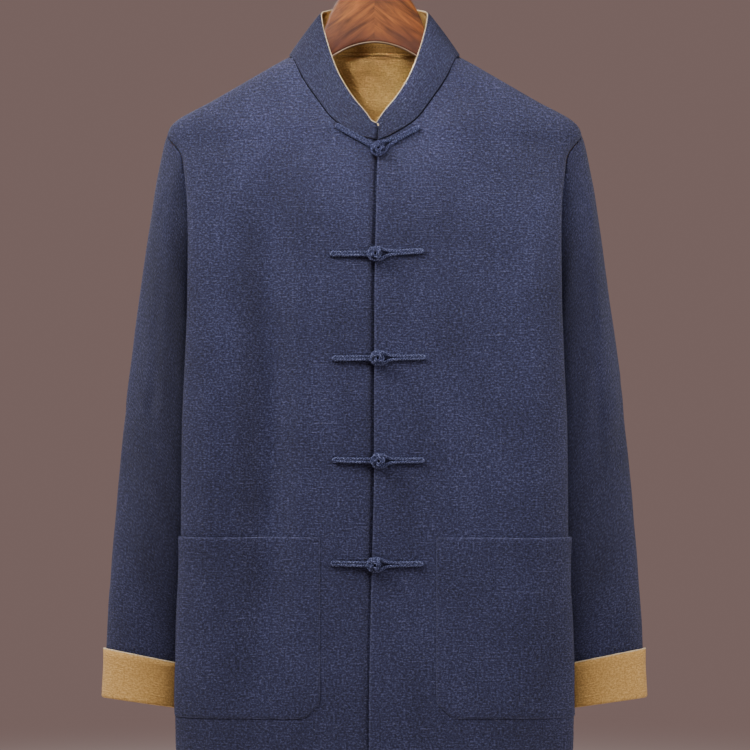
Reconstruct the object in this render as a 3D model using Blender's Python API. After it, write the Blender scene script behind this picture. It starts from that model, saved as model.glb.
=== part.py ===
"""Men's tang jacket hung on a wooden hanger.

Metres, +Z up, +X to the wearer's left, -Y to the front. The origin is the inside top
of the hanger's hook, so every height below is a length down from the rail. The cloth
is a 2 mm wall. The body is a stack of level sections: each one is a rounded oval whose
sides are drawn in at the side seam, where the sleeve hangs beside the body. Soft folds
are pressed into the sections from a table.
"""

from collections import namedtuple
from math import cos, pi, radians, sin

import bmesh
import bpy
import numpy as np

# ------------------------------------------------------------------ heights and walls
HEM = -0.890
UNDERARM = -0.455
SHOULDER = -0.2255
NECK_POINT = -0.140
CLOTH = 0.0020
LINING = 0.0010
PARTING = 0.0003
EDGE_DRAW = 0.00022

# ------------------------------------------------------------------ body sections
Section = namedtuple("Section", "height half_width front back squareness pinch tilt")
BODY = [
    Section(-0.890, 0.2130, 0.0900, 0.0780, 4.0, 0.17, 0.00),
    Section(-0.840, 0.2130, 0.0905, 0.0780, 4.6, 0.26, 0.00),
    Section(-0.760, 0.2112, 0.0905, 0.0780, 5.0, 0.30, 0.00),
    Section(-0.665, 0.2068, 0.0900, 0.0780, 5.0, 0.34, 0.00),
    Section(-0.548, 0.2057, 0.0875, 0.0765, 5.0, 0.37, 0.00),
    Section(-0.455, 0.2020, 0.0840, 0.0750, 5.0, 0.38, 0.02),
    Section(-0.400, 0.2004, 0.0800, 0.0730, 5.0, 0.38, 0.05),
    Section(-0.342, 0.2004, 0.0740, 0.0700, 4.4, 0.36, 0.10),
    Section(-0.300, 0.2015, 0.0680, 0.0660, 4.2, 0.30, 0.14),
    Section(-0.273, 0.2047, 0.0620, 0.0620, 3.5, 0.21, 0.16),
    Section(-0.248, 0.2092, 0.0560, 0.0585, 3.1, 0.10, 0.18),
    Section(-0.2255, 0.2265, 0.0500, 0.0550, 2.5, 0.00, 0.20),
    Section(-0.2198, 0.2250, 0.0485, 0.0540, 2.5, 0.00, 0.20),
    Section(-0.2132, 0.2206, 0.0470, 0.0530, 2.5, 0.00, 0.20),
    Section(-0.188, 0.1770, 0.0370, 0.0490, 2.5, 0.00, 0.20),
    Section(-0.165, 0.1373, 0.0290, 0.0450, 2.5, 0.00, 0.20),
    Section(-0.140, 0.0941, 0.0200, 0.0400, 2.5, 0.00, 0.20),
]

# Soft troughs in the fronts and the back: a line from its top to its bottom end, how
# far it reaches to each side, and how deep it is pressed in. A ridge has a depth below 0.
Fold = namedtuple("Fold", "panel top_x top_z bottom_x bottom_z reach depth")
FOLDS = [
    Fold("front", -0.1270, -0.235, -0.1280, -0.830, 0.032, 0.0092),
    Fold("front", -0.0950, -0.260, -0.0960, -0.800, 0.056, 0.0050),
    Fold("front", -0.1740, -0.280, -0.1760, -0.860, 0.030, -0.0030),
    Fold("front", 0.1780, -0.250, 0.1820, -0.870, 0.070, -0.0090),
    Fold("back", -0.1120, -0.280, -0.0980, -0.760, 0.040, 0.0058),
    Fold("back", -0.0300, -0.260, -0.0380, -0.640, 0.036, -0.0030),
    Fold("back", 0.0380, -0.400, 0.0300, -0.900, 0.040, 0.0046),
    Fold("back", 0.1200, -0.300, 0.1100, -0.820, 0.038, 0.0052),
]
# A fold keeps most of its depth almost to its ends where this power is small.
FOLD_FULLNESS = 0.7
# Folds end between these two shares of a section's depth, well before the side seam.
SIDE_SHARE = 0.35
FACE_SHARE = 0.75

# Half-width of the front neckline at each level, from the neck point to the centre.
Neckline = namedtuple("Neckline", "height half_width")
NECK = [
    Neckline(-0.2260, 0.0000),
    Neckline(-0.2253, 0.0050),
    Neckline(-0.2173, 0.0232),
    Neckline(-0.2030, 0.0455),
    Neckline(-0.1820, 0.0625),
    Neckline(-0.1630, 0.0766),
    Neckline(-0.1430, 0.0872),
    Neckline(-0.1375, 0.0900),
]

# How far each armhole edge stands from the side line, measured along the section.
Armhole = namedtuple("Armhole", "share front back")
ARMHOLE = [
    Armhole(0.00, 0.000, 0.000),
    Armhole(0.03, 0.010, 0.010),
    Armhole(0.11, 0.022, 0.021),
    Armhole(0.25, 0.034, 0.031),
    Armhole(0.50, 0.041, 0.037),
    Armhole(0.75, 0.037, 0.033),
    Armhole(0.90, 0.027, 0.024),
    Armhole(0.97, 0.015, 0.013),
    Armhole(1.00, 0.000, 0.000),
]

# The left front laps over the right one. Its edge drifts from +X to -X down the front.
LapEdge = namedtuple("LapEdge", "height x")
LAP_EDGE = [
    LapEdge(-0.890, -0.0058),
    LapEdge(-0.830, -0.0056),
    LapEdge(-0.717, -0.0034),
    LapEdge(-0.600, -0.0006),
    LapEdge(-0.400, 0.0000),
    LapEdge(-0.308, 0.0016),
    LapEdge(-0.2255, 0.0040),
]
UNDERLAP = 0.020
UNDERLAP_AT_NECK = 0.003
UNDERLAP_DROP = 0.0030
UNDERLAP_NARROWS = (-0.330, -0.230)
DROP_ENDS = (0.002, 0.014)

# ------------------------------------------------------------------ patch pockets
POCKET_TOP = -0.660
POCKET_CLIP = -0.836
POCKET_BOTTOM = -0.852
POCKET_INNER = {"left": 0.0655, "right": 0.0575}
CLIP_WIDTH = 0.018

# ------------------------------------------------------------------ grid of the panels
BODY_LEVELS = [HEM, POCKET_BOTTOM, POCKET_CLIP, -0.790, -0.745, -0.700, POCKET_TOP]
BODY_LEVELS += [-0.612, -0.562, -0.510]
ARMHOLE_ROWS = 9
SHOULDER_ROWS = 5
INNER_COLUMNS = 4
FOLD_COLUMNS = 7
SIDE_COLUMNS = 3
FOLD_LIMIT = 0.84
LINING_ROWS_DOWN = 2
LINING_SIDE_COLUMNS = 3
# These shares of a point's X, Y and Z give the middle that its wall faces away from.
BODY_MIDDLE = (0.8, 0.0, 1.0)
COLLAR_MIDDLE = (0.7, 0.0, 1.0)
COLLAR_MIDDLE_Y = -0.004
# Two panels' normals are averaged at a seam where they agree by more than this cosine.
GENTLE_SEAM = 0.1

# ------------------------------------------------------------------ sleeves and cuffs
# A ring lies between an outer and an inner line. Skew makes it slim at the body, a small
# value of blunt makes it boxy, and tilt raises its front.
Sleeve = namedtuple("Sleeve", "share outer_x outer_z inner_x inner_z depth skew blunt tilt")
SLEEVE = [
    Sleeve(0.00, 0.2265, -0.2255, 0.1595, -0.4550, 0.046, 0.55, 0.50, 0.00),
    Sleeve(0.03, 0.2293, -0.2330, 0.1648, -0.4630, 0.046, 0.55, 0.50, 0.00),
    Sleeve(0.10, 0.2370, -0.2720, 0.1680, -0.4900, 0.048, 0.55, 0.46, 0.00),
    Sleeve(0.20, 0.2450, -0.3280, 0.1705, -0.5280, 0.051, 0.48, 0.42, 0.00),
    Sleeve(0.35, 0.2550, -0.4170, 0.1760, -0.5850, 0.055, 0.40, 0.36, 0.00),
    Sleeve(0.50, 0.2665, -0.5040, 0.1820, -0.6430, 0.055, 0.30, 0.32, 0.03),
    Sleeve(0.70, 0.2800, -0.6330, 0.1905, -0.7200, 0.051, 0.22, 0.32, 0.08),
    Sleeve(0.90, 0.2905, -0.7570, 0.1980, -0.7840, 0.046, 0.12, 0.32, 0.125),
    Sleeve(0.94, 0.2920, -0.7845, 0.2000, -0.8040, 0.045, 0.10, 0.34, 0.13),
    Sleeve(1.00, 0.2948, -0.8380, 0.2040, -0.8510, 0.044, 0.10, 0.36, 0.13),
]
UNDERARM_ALLOWANCE = 0.0024
ALLOWANCE_REACH = 0.35
SLEEVE_RINGS = [0.0, 0.03, 0.07, 0.12, 0.18, 0.25, 0.33, 0.42, 0.51, 0.60]
SLEEVE_RINGS += [0.69, 0.78, 0.87, 0.94, 0.97, 1.0]
BLEND_SHARE = 0.16
CUFF_START = 0.94
CUFF_LIFT = 0.00042

# ------------------------------------------------------------------ collar
CollarTop = namedtuple("CollarTop", "share x y z")
COLLAR_TOP = [
    CollarTop(0.00, 0.0000, -0.0470, -0.2194),
    CollarTop(0.08, 0.0104, -0.0445, -0.2042),
    CollarTop(0.17, 0.0236, -0.0390, -0.1877),
    CollarTop(0.29, 0.0397, -0.0280, -0.1600),
    CollarTop(0.40, 0.0501, -0.0150, -0.1312),
    CollarTop(0.49, 0.0572, -0.0030, -0.1040),
    CollarTop(0.56, 0.0590, 0.0070, -0.0915),
    CollarTop(0.66, 0.0530, 0.0200, -0.0865),
    CollarTop(0.80, 0.0330, 0.0290, -0.0835),
    CollarTop(1.00, 0.0000, 0.0335, -0.0820),
]
COLLAR_GAP = 0.0007
COLLAR_BULGE = 0.0012
COLLAR_HEIGHT = 0.050

# ------------------------------------------------------------------ frog closures
Frog = namedtuple("Frog", "knot_x knot_z stem_x stem_z loop_x loop_z")
FROGS = [
    Frog(0.0040, -0.2450, -0.0420, -0.2190, 0.0475, -0.2215),
    Frog(0.0010, -0.3590, -0.0475, -0.3590, 0.0510, -0.3560),
    Frog(0.0037, -0.4700, -0.0452, -0.4705, 0.0527, -0.4692),
    Frog(0.0045, -0.5788, -0.0448, -0.5780, 0.0515, -0.5784),
    Frog(0.0002, -0.6885, -0.0465, -0.6873, 0.0503, -0.6878),
]
CORD_RADIUS = 0.0015
STRAND_GAP = 0.0016
KNOT_RADIUS = 0.0068
LOOP_RADIUS = 0.0093
STEM_FROM_KNOT = 0.0126
LoopOpening = namedtuple("LoopOpening", "share opening")
LOOP_OPENINGS = [
    LoopOpening(0.00, 0.00),
    LoopOpening(0.25, 0.00),
    LoopOpening(0.45, 0.06),
    LoopOpening(0.62, 0.30),
    LoopOpening(0.75, 0.68),
    LoopOpening(0.86, 0.92),
]
FROG_LIFT = 0.0009
KNOT_LIFT = 0.0066
CORD_SIDES = 6
STEM_STEPS = 6
TIP_TURN = (72, 5)
LOOP_TURN = (70, 7)
# A direction that no cord or wire starts along, to measure its roundness from.
SIDEWAYS = (0.31, 0.93, 0.17)

# ------------------------------------------------------------------ hanger and hook
HANGER_THICKNESS = 0.013
HANGER_BEVEL = 0.004
HangerEdge = namedtuple("HangerEdge", "x z")
HANGER_TOP = [
    HangerEdge(0.0000, -0.0650),
    HangerEdge(0.0170, -0.0664),
    HangerEdge(0.0310, -0.0708),
    HangerEdge(0.0415, -0.0790),
    HangerEdge(0.0470, -0.0905),
    HangerEdge(0.0500, -0.1010),
    HangerEdge(0.0520, -0.1110),
    HangerEdge(0.0562, -0.1225),
    HangerEdge(0.0650, -0.1340),
    HangerEdge(0.0805, -0.1465),
    HangerEdge(0.1060, -0.1590),
    HangerEdge(0.1400, -0.1785),
    HangerEdge(0.1750, -0.1985),
    HangerEdge(0.2000, -0.2130),
]
HANGER_BOTTOM = [
    HangerEdge(0.2060, -0.2215),
    HangerEdge(0.2040, -0.2320),
    HangerEdge(0.1950, -0.2365),
    HangerEdge(0.1700, -0.2235),
    HangerEdge(0.1350, -0.2020),
    HangerEdge(0.1000, -0.1790),
    HangerEdge(0.0720, -0.1560),
    HangerEdge(0.0454, -0.1375),
    HangerEdge(0.0240, -0.1265),
    HangerEdge(0.0000, -0.1224),
]
WIRE_RADIUS = 0.0019
WIRE_SIDES = 10
HOOK_RADIUS = 0.0200
HOOK_FOOT = -0.0644
HookPoint = namedtuple("HookPoint", "x z")
HOOK_SWING = [
    HookPoint(0.0000, -0.0500),
    HookPoint(0.0006, -0.0445),
    HookPoint(0.0045, -0.0390),
    HookPoint(0.0120, -0.0335),
]
HOOK_ARC = (-35, 205)
HOOK_STEPS = 20
FERRULE_RADIUS = 0.0042
FERRULE_HEIGHT = 0.0060

# ------------------------------------------------------------------ finishes
Finish = namedtuple("Finish", "colour roughness metallic")
FINISHES = {
    "navy_cloth": Finish((0.034, 0.038, 0.075), 0.90, 0.0),
    "mustard_lining": Finish((0.46, 0.26, 0.085), 0.88, 0.0),
    "navy_cord": Finish((0.018, 0.020, 0.040), 0.85, 0.0),
    "hanger_wood": Finish((0.32, 0.10, 0.035), 0.28, 0.0),
    "hook_metal": Finish((0.62, 0.62, 0.62), 0.25, 1.0),
}


# ------------------------------------------------------------------ curves and tables
def smooth_read(places, values, at):
    """Read a table as a smooth curve that never overshoots between its rows."""
    places = np.asarray(places, float)
    values = np.asarray(values, float)
    steps = np.diff(places)
    slopes = np.diff(values) / steps
    tangents = np.zeros_like(values)
    tangents[0] = slopes[0]
    tangents[-1] = slopes[-1]
    for i in range(1, len(values) - 1):
        if slopes[i - 1] * slopes[i] > 0:
            tangents[i] = 2 * slopes[i - 1] * slopes[i] / (slopes[i - 1] + slopes[i])
    at = min(max(at, places[0]), places[-1])
    i = min(int(np.searchsorted(places, at, side="right")) - 1, len(steps) - 1)
    t = (at - places[i]) / steps[i]
    rise = 2 * t**3 - 3 * t**2
    start = (1 + rise) * values[i] + (t**3 - 2 * t**2 + t) * steps[i] * tangents[i]
    end = -rise * values[i + 1] + (t**3 - t**2) * steps[i] * tangents[i + 1]
    return float(start + end)


def read_row(table, key, at):
    """Read every other column of a named table at one value of its key column."""
    places = [getattr(row, key) for row in table]
    others = [field for field in table[0]._fields if field != key]
    values = {f: smooth_read(places, [getattr(r, f) for r in table], at) for f in others}
    return type(table[0])(**{key: at}, **values)


def ease(share):
    """Go from 0 to 1 with level ends."""
    share = min(max(share, 0.0), 1.0)
    return share * share * (3 - 2 * share)


def along(points):
    """Length run from the first point to each point of a line."""
    steps = np.linalg.norm(np.diff(points, axis=0), axis=1)
    return np.concatenate([[0.0], np.cumsum(steps)])


# ------------------------------------------------------------------ the body's surface
FRONT = -1
BACK = 1
SECTION_STEPS = 240


def half_section(level, face):
    """Trace one quarter of a level section, from the centre line to the side line."""
    row = read_row(BODY, "height", level)
    depth = row.front if face == FRONT else row.back
    angle = np.linspace(0, pi / 2, SECTION_STEPS)
    share = np.cos(angle) ** (2 / row.squareness)
    x = np.sin(angle) ** (2 / row.squareness) * (1 - row.pinch * (1 - share**2) ** 2)
    x *= row.half_width / x.max()
    y = face * depth * share
    return np.column_stack([x, y, level + row.tilt * y])


def pressed_in(x, level, face):
    """Depth of the folds at a point of one face."""
    panel = "front" if face == FRONT else "back"
    depth = 0.0
    for fold in FOLDS:
        if fold.panel != panel:
            continue
        down = (fold.top_z - level) / (fold.top_z - fold.bottom_z)
        if not 0.0 < down < 1.0:
            continue
        centre = fold.top_x + (fold.bottom_x - fold.top_x) * down
        away = abs(x - centre) / fold.reach
        if away < 1.0:
            depth += fold.depth * (1 - ease(away)) * sin(pi * down) ** FOLD_FULLNESS
    return depth


def place_at_x(level, face, x):
    """Give the place along a section, from 0 to 1, where it is x off the centre."""
    line = half_section(level, face)
    widest = int(line[:, 0].argmax())
    return float(np.interp(abs(x), line[:widest, 0], along(line)[:widest])) * np.sign(x)


def body_point(level, face, length):
    """Give the point at a signed length along a section from the centre line."""
    line = half_section(level, face)
    run = along(line)
    point = np.array([np.interp(abs(length), run, line[:, k]) for k in range(3)])
    if length < 0:
        point[0] = -point[0]
    towards_face = ease((point[1] / line[0, 1] - SIDE_SHARE) / (FACE_SHARE - SIDE_SHARE))
    point[1] -= face * pressed_in(point[0], level, face) * towards_face
    return point


def side_length(level, face):
    """Length of a section from the centre line to the side line."""
    return float(along(half_section(level, face))[-1])


def fold_place(level, face):
    """Length along a section to its widest point, where the cloth folds back."""
    line = half_section(level, face)
    return float(along(line)[line[:, 0].argmax()])


def spaced(start, end, count):
    """Evenly spaced shares after start, up to and with end."""
    return [start + (end - start) * (j + 1) / count for j in range(count)]


def lap_edge(level):
    return read_row(LAP_EDGE, "height", level).x


def front_surface(x, z):
    """Give the outer point of the closed front at an X and a height."""
    level = z
    for _ in range(4):
        point = body_point(level, FRONT, place_at_x(level, FRONT, x))
        level += z - point[2]
    return point


def body_levels():
    """Heights of the panels' rows, from the hem to the neck point."""
    turn = np.linspace(0, pi, ARMHOLE_ROWS + 1)
    armhole = UNDERARM + (SHOULDER - UNDERARM) * (1 - np.cos(turn)) / 2
    shoulder = np.linspace(SHOULDER, NECK_POINT, SHOULDER_ROWS + 1)[1:]
    return BODY_LEVELS + list(armhole) + list(shoulder)


LEVELS = body_levels()
UNDERARM_ROW = len(BODY_LEVELS)
SHOULDER_ROW = UNDERARM_ROW + ARMHOLE_ROWS


def panel_end(level, face):
    """Length along a section at which a panel ends: side seam, armhole or shoulder."""
    length = side_length(level, face)
    if UNDERARM < level < SHOULDER:
        share = (level - UNDERARM) / (SHOULDER - UNDERARM)
        row = read_row(ARMHOLE, "share", share)
        length -= row.front if face == FRONT else row.back
    return length


# ------------------------------------------------------------------ the cut panels
def front_panel(side):
    """Points of one front, rows from hem to shoulder, columns from edge to side."""
    mirror = 1 if side == "left" else -1
    inner = POCKET_INNER[side]
    pocket_share = None
    rows = []
    for row, level in enumerate(LEVELS):
        if row < SHOULDER_ROW:
            edge = mirror * lap_edge(level)
            if side == "right":
                low, high = UNDERLAP_NARROWS
                near_neck = ease((level - low) / (high - low))
                under = UNDERLAP + (UNDERLAP_AT_NECK - UNDERLAP) * near_neck
                edge -= under
        elif row == SHOULDER_ROW:
            edge = mirror * lap_edge(level)
        else:
            edge = read_row(NECK, "height", level).half_width
        start = place_at_x(level, FRONT, edge)
        end = panel_end(level, FRONT)
        if level <= POCKET_TOP:
            pocket = place_at_x(level, FRONT, inner)
            pocket_share = (pocket - start) / (end - start)
        shares = [pocket_share * j / INNER_COLUMNS for j in range(INNER_COLUMNS + 1)]
        if side == "right" and row < SHOULDER_ROW:
            for j, short_of_edge in enumerate(DROP_ENDS, start=1):
                place = place_at_x(level, FRONT, edge + under + short_of_edge)
                shares[j] = (place - start) / (end - start)
            shares[3] = (shares[2] + pocket_share) / 2
        fold = (fold_place(level, FRONT) - start) / (end - start)
        shares += spaced(pocket_share, min(fold, FOLD_LIMIT), FOLD_COLUMNS)
        shares += spaced(min(fold, FOLD_LIMIT), 1.0, SIDE_COLUMNS)
        points = []
        for share in shares:
            point = body_point(level, FRONT, mirror * (start + (end - start) * share))
            if side == "right":
                short_of_edge = lap_edge(level) - point[0]
                dropped = (DROP_ENDS[1] - short_of_edge) / (DROP_ENDS[1] - DROP_ENDS[0])
                point[1] += UNDERLAP_DROP * ease(dropped)
            points.append(point)
        rows.append(points)
    return np.array(rows)


def back_panel():
    """Points of the back, rows from hem to neck, columns from right side to left."""
    rows = []
    for level in LEVELS:
        end = panel_end(level, BACK)
        fold = min(fold_place(level, BACK) / end, FOLD_LIMIT)
        half = spaced(0.0, fold, INNER_COLUMNS + FOLD_COLUMNS)
        half += spaced(fold, 1.0, SIDE_COLUMNS)
        shares = [-share for share in reversed(half)] + [0.0] + half
        rows.append([body_point(level, BACK, end * share) for share in shares])
    return np.array(rows)


# ------------------------------------------------------------------ sleeves
def sleeve_shares():
    """Places of a ring's points between its inner and its outer line."""
    levels = LEVELS[UNDERARM_ROW : SHOULDER_ROW + 1]
    return [(level - UNDERARM) / (SHOULDER - UNDERARM) for level in levels]


def ring_depth(share, skew, blunt):
    """How deep a ring is at a share of its way out from the body."""
    return max(4 * share * (1 - share), 0.0) ** blunt * share**skew


def sleeve_ring(share, front_edge, back_edge):
    """Points of one ring: down the front from the outer line, then up the back."""
    row = read_row(SLEEVE, "share", share)
    widest = max(ring_depth(s, row.skew, row.blunt) for s in np.linspace(0, 1, 50))
    blend = ease(share / BLEND_SHARE)
    places = sleeve_shares()
    ring = []
    for face, edge in ((FRONT, front_edge), (BACK, back_edge)):
        order = range(len(places) - 1, 0, -1) if face == FRONT else range(len(places) - 1)
        for i in order:
            outward = places[i]
            deep = face * row.depth * ring_depth(outward, row.skew, row.blunt) / widest
            x = row.inner_x + (row.outer_x - row.inner_x) * outward
            z = row.inner_z + (row.outer_z - row.inner_z) * outward
            shaped = np.array([x, deep, z - row.tilt * deep])
            first = edge[i] - edge[0] - (edge[-1] - edge[0]) * outward
            ring.append(shaped * blend + (shaped + first - [0, deep, 0]) * (1 - blend))
    return ring


def sleeve_grid(front, back):
    """Points of the left sleeve, one row for each ring from armhole to cuff edge."""
    front_edge = front[UNDERARM_ROW : SHOULDER_ROW + 1, -1]
    back_edge = back[UNDERARM_ROW : SHOULDER_ROW + 1, -1]
    rings = [sleeve_ring(share, front_edge, back_edge) for share in SLEEVE_RINGS]
    allowance = [UNDERARM_ALLOWANCE * (1 - ease(s / ALLOWANCE_REACH)) for s in sleeve_shares()]
    stood_off = np.column_stack([allowance, np.zeros((len(allowance), 2))])
    front_edge = front_edge + stood_off
    back_edge = back_edge + stood_off
    rings[0] = list(front_edge[::-1][:-1]) + list(back_edge[:-1])
    return np.array(rings)


def mirrored(grid):
    return grid * np.array([-1.0, 1.0, 1.0])


# ------------------------------------------------------------------ collar
def collar_grid(fronts, back):
    """Points of the stand collar, bottom row on the neckline, from right end to left."""
    right = fronts["right"][SHOULDER_ROW:, 0]
    left = fronts["left"][SHOULDER_ROW:, 0]
    bottom = np.concatenate([right, back[-1], left[::-1]])
    bottom[:, 2] += COLLAR_GAP
    run = along(bottom) / along(bottom)[-1]
    top = []
    for place, point in zip(run, bottom):
        row = read_row(COLLAR_TOP, "share", 1 - abs(2 * place - 1))
        top.append((np.sign(point[0]) * row.x, row.y, row.z))
    top = np.array(top)
    top[0, 0] = bottom[0, 0]
    top[-1, 0] = bottom[-1, 0]
    middle_row = (bottom + top) / 2
    outward = unit(middle_row * [1.0, 1.0, 0.0])
    height = np.linalg.norm(top - bottom, axis=1)[:, None]
    middle_row += outward * COLLAR_BULGE * height / COLLAR_HEIGHT
    return np.array([bottom, middle_row, top])


# ------------------------------------------------------------------ walls
def face_normals(grid, around):
    """Sum of the facet normals round each point of a grid."""
    rows, columns = grid.shape[:2]
    normals = np.zeros_like(grid)
    last = columns if around else columns - 1
    for i in range(rows - 1):
        for j in range(last):
            k = (j + 1) % columns
            corner = np.cross(grid[i + 1, k] - grid[i, j], grid[i + 1, j] - grid[i, k])
            for a, b in ((i, j), (i, k), (i + 1, j), (i + 1, k)):
                normals[a, b] += corner
    return normals


def unit(vectors):
    return vectors / np.linalg.norm(vectors, axis=-1, keepdims=True)


def place_key(point):
    return tuple(np.round(point, 5))


def shared_normals(grids):
    """Point normals of every grid, averaged where two grids meet at a gentle seam."""
    own = {}
    for name, (grid, inside, around) in grids.items():
        normals = unit(face_normals(grid, around))
        if (normals * (grid - inside)).sum() < 0:
            normals = -normals
        own[name] = normals
    meeting = {}
    for name, (grid, _, _) in grids.items():
        for i, j in np.ndindex(grid.shape[:2]):
            meeting.setdefault(place_key(grid[i, j]), []).append(own[name][i, j])
    shared = {}
    for name, (grid, _, _) in grids.items():
        result = own[name].copy()
        for i, j in np.ndindex(grid.shape[:2]):
            near = [n for n in meeting[place_key(grid[i, j])] if n @ own[name][i, j] > GENTLE_SEAM]
            result[i, j] = unit(sum(near))
        shared[name] = result
    return shared


def parted(grid, around):
    """Draw the edges of a grid in a little, so that sewn pieces are apart."""
    result = grid.copy()
    result[0] += unit(grid[1] - grid[0]) * EDGE_DRAW
    result[-1] += unit(grid[-2] - grid[-1]) * EDGE_DRAW
    if not around:
        result[:, 0] += unit(grid[:, 1] - grid[:, 0]) * EDGE_DRAW
        result[:, -1] += unit(grid[:, -2] - grid[:, -1]) * EDGE_DRAW
    return result


def wall_object(name, outer, inner, finish, around=False):
    """Make a closed wall between two grids of points."""
    rows, columns = outer.shape[:2]
    mesh = bmesh.new()
    sheets = []
    for grid in (outer, inner):
        sheets.append([[mesh.verts.new(grid[i, j]) for j in range(columns)] for i in range(rows)])
    last = columns if around else columns - 1
    for sheet in sheets:
        for i in range(rows - 1):
            for j in range(last):
                k = (j + 1) % columns
                corners = (sheet[i][j], sheet[i][k], sheet[i + 1][k], sheet[i + 1][j])
                mesh.faces.new(corners)
    top, under = sheets
    for i in (0, rows - 1):
        for j in range(last):
            k = (j + 1) % columns
            mesh.faces.new((top[i][j], top[i][k], under[i][k], under[i][j]))
    if not around:
        for j in (0, columns - 1):
            for i in range(rows - 1):
                mesh.faces.new((top[i][j], top[i + 1][j], under[i + 1][j], under[i][j]))
    bmesh.ops.recalc_face_normals(mesh, faces=mesh.faces)
    return mesh_object(name, mesh, finish)


def mesh_object(name, mesh, finish, crease=40):
    """Turn a bmesh into a named object with its own material."""
    data = bpy.data.meshes.new(name)
    mesh.to_mesh(data)
    mesh.free()
    data.shade_smooth()
    data.set_sharp_from_angle(angle=radians(crease))
    shape = bpy.data.objects.new(name, data)
    bpy.context.scene.collection.objects.link(shape)
    data.materials.append(make_material(name, FINISHES[finish]))
    return shape


def make_material(name, finish):
    material = bpy.data.materials.new(name)
    material.use_nodes = True
    shader = material.node_tree.nodes["Principled BSDF"]
    shader.inputs["Base Color"].default_value = (*finish.colour, 1.0)
    shader.inputs["Roughness"].default_value = finish.roughness
    shader.inputs["Metallic"].default_value = finish.metallic
    return material


# ------------------------------------------------------------------ cords and wire
def tube_object(name, path, radius, sides, finish):
    """Make a round cord or wire along a line of points, with closed ends."""
    path = np.asarray(path, float)
    tangents = unit(np.gradient(path, axis=0))
    across = np.cross(tangents[0], SIDEWAYS)
    mesh = bmesh.new()
    rings = []
    for point, tangent in zip(path, tangents):
        across = unit(across - tangent * (across @ tangent))
        other = np.cross(tangent, across)
        ring = []
        for s in range(sides):
            turn = 2 * pi * s / sides
            ring.append(mesh.verts.new(point + radius * (cos(turn) * across + sin(turn) * other)))
        rings.append(ring)
    for a, b in zip(rings, rings[1:]):
        for s in range(sides):
            k = (s + 1) % sides
            mesh.faces.new((a[s], a[k], b[k], b[s]))
    mesh.faces.new(rings[0])
    mesh.faces.new(rings[-1])
    bmesh.ops.recalc_face_normals(mesh, faces=mesh.faces)
    return mesh_object(name, mesh, finish)


def bend(centre, radius, start, end, count):
    """Points of an arc in the X-Z plane, with its angles in degrees."""
    turns = np.radians(np.linspace(start, end, count))
    return [(centre[0] + radius * cos(t), centre[1] + radius * sin(t)) for t in turns]


def laid_on_front(flat_path, lift):
    """Lay a line of X, Z points on the front, so far out from the cloth."""
    return [front_surface(x, z) - np.array([0.0, lift, 0.0]) for x, z in flat_path]


def double_cord(tip, root, side_step, turn_radius):
    """X, Z points of two strands that run from root to tip and turn back there."""
    tip = np.array(tip)
    root = np.array(root)
    run = unit(tip - root)
    across = np.array([-run[1], run[0]])
    shares = np.linspace(0, 1, STEM_STEPS)
    centre = tip - run * turn_radius
    out = [root + (centre - root) * s + across * side_step for s in shares]
    back = [root + (centre - root) * s - across * side_step for s in shares[::-1]]
    angle, count = TIP_TURN
    turns = np.radians(np.linspace(angle, -angle, count))
    cap = [centre + side_step * (run * cos(t) + across * sin(t)) for t in turns]
    return out + cap + back


def frog_loop(tip, knot, side_step):
    """X, Z points of a cord that leaves the tip, rounds the knot and comes back."""
    tip = np.array(tip)
    knot = np.array(knot)
    run = unit(knot - tip)
    across = np.array([-run[1], run[0]])
    length = float(np.linalg.norm(knot - tip))
    strand = []
    for row in LOOP_OPENINGS:
        aside = side_step + (LOOP_RADIUS - side_step) * row.opening
        strand.append((row.share * length, aside))
    angle, count = LOOP_TURN
    turns = np.radians(np.linspace(angle, -angle, count))
    out = [tip + run * s + across * a for s, a in strand]
    cap = [knot + LOOP_RADIUS * (run * cos(t) + across * sin(t)) for t in turns]
    back = [tip + run * s - across * a for s, a in reversed(strand)]
    return out + cap + back


# ------------------------------------------------------------------ the pieces
def add_body(fronts, back, sleeves):
    """Fronts, back, sleeves and turned-back cuffs, each a wall of its own."""
    grids = {}
    for side in ("left", "right"):
        front = fronts[side]
        grids[f"front_{side}"] = (front, front * BODY_MIDDLE, False)
        sleeve = sleeves[side]
        grids[f"sleeve_{side}"] = (sleeve, sleeve.mean(axis=1, keepdims=True), True)
    grids["back"] = (back, back * BODY_MIDDLE, False)
    collar = collar_grid(fronts, back)
    middle = collar * COLLAR_MIDDLE + [0.0, COLLAR_MIDDLE_Y, 0.0]
    grids["collar"] = (collar, middle, False)
    normals = shared_normals(grids)
    for name, (grid, _, around) in grids.items():
        outer = parted(grid, around)
        wall_object(name, outer, outer - normals[name] * CLOTH, "navy_cloth", around)
    return grids, normals


def add_cuffs(grids, normals):
    """Each cuff is the sleeve's end turned back over itself, lining side out."""
    first = SLEEVE_RINGS.index(CUFF_START)
    for side in ("left", "right"):
        outer = parted(grids[f"sleeve_{side}"][0], True)[first:]
        outward = normals[f"sleeve_{side}"][first:]
        inner_face = outer + outward * CUFF_LIFT
        outer_face = inner_face + outward * CLOTH
        wall_object(f"cuff_{side}", outer_face, inner_face, "mustard_lining", True)


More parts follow.
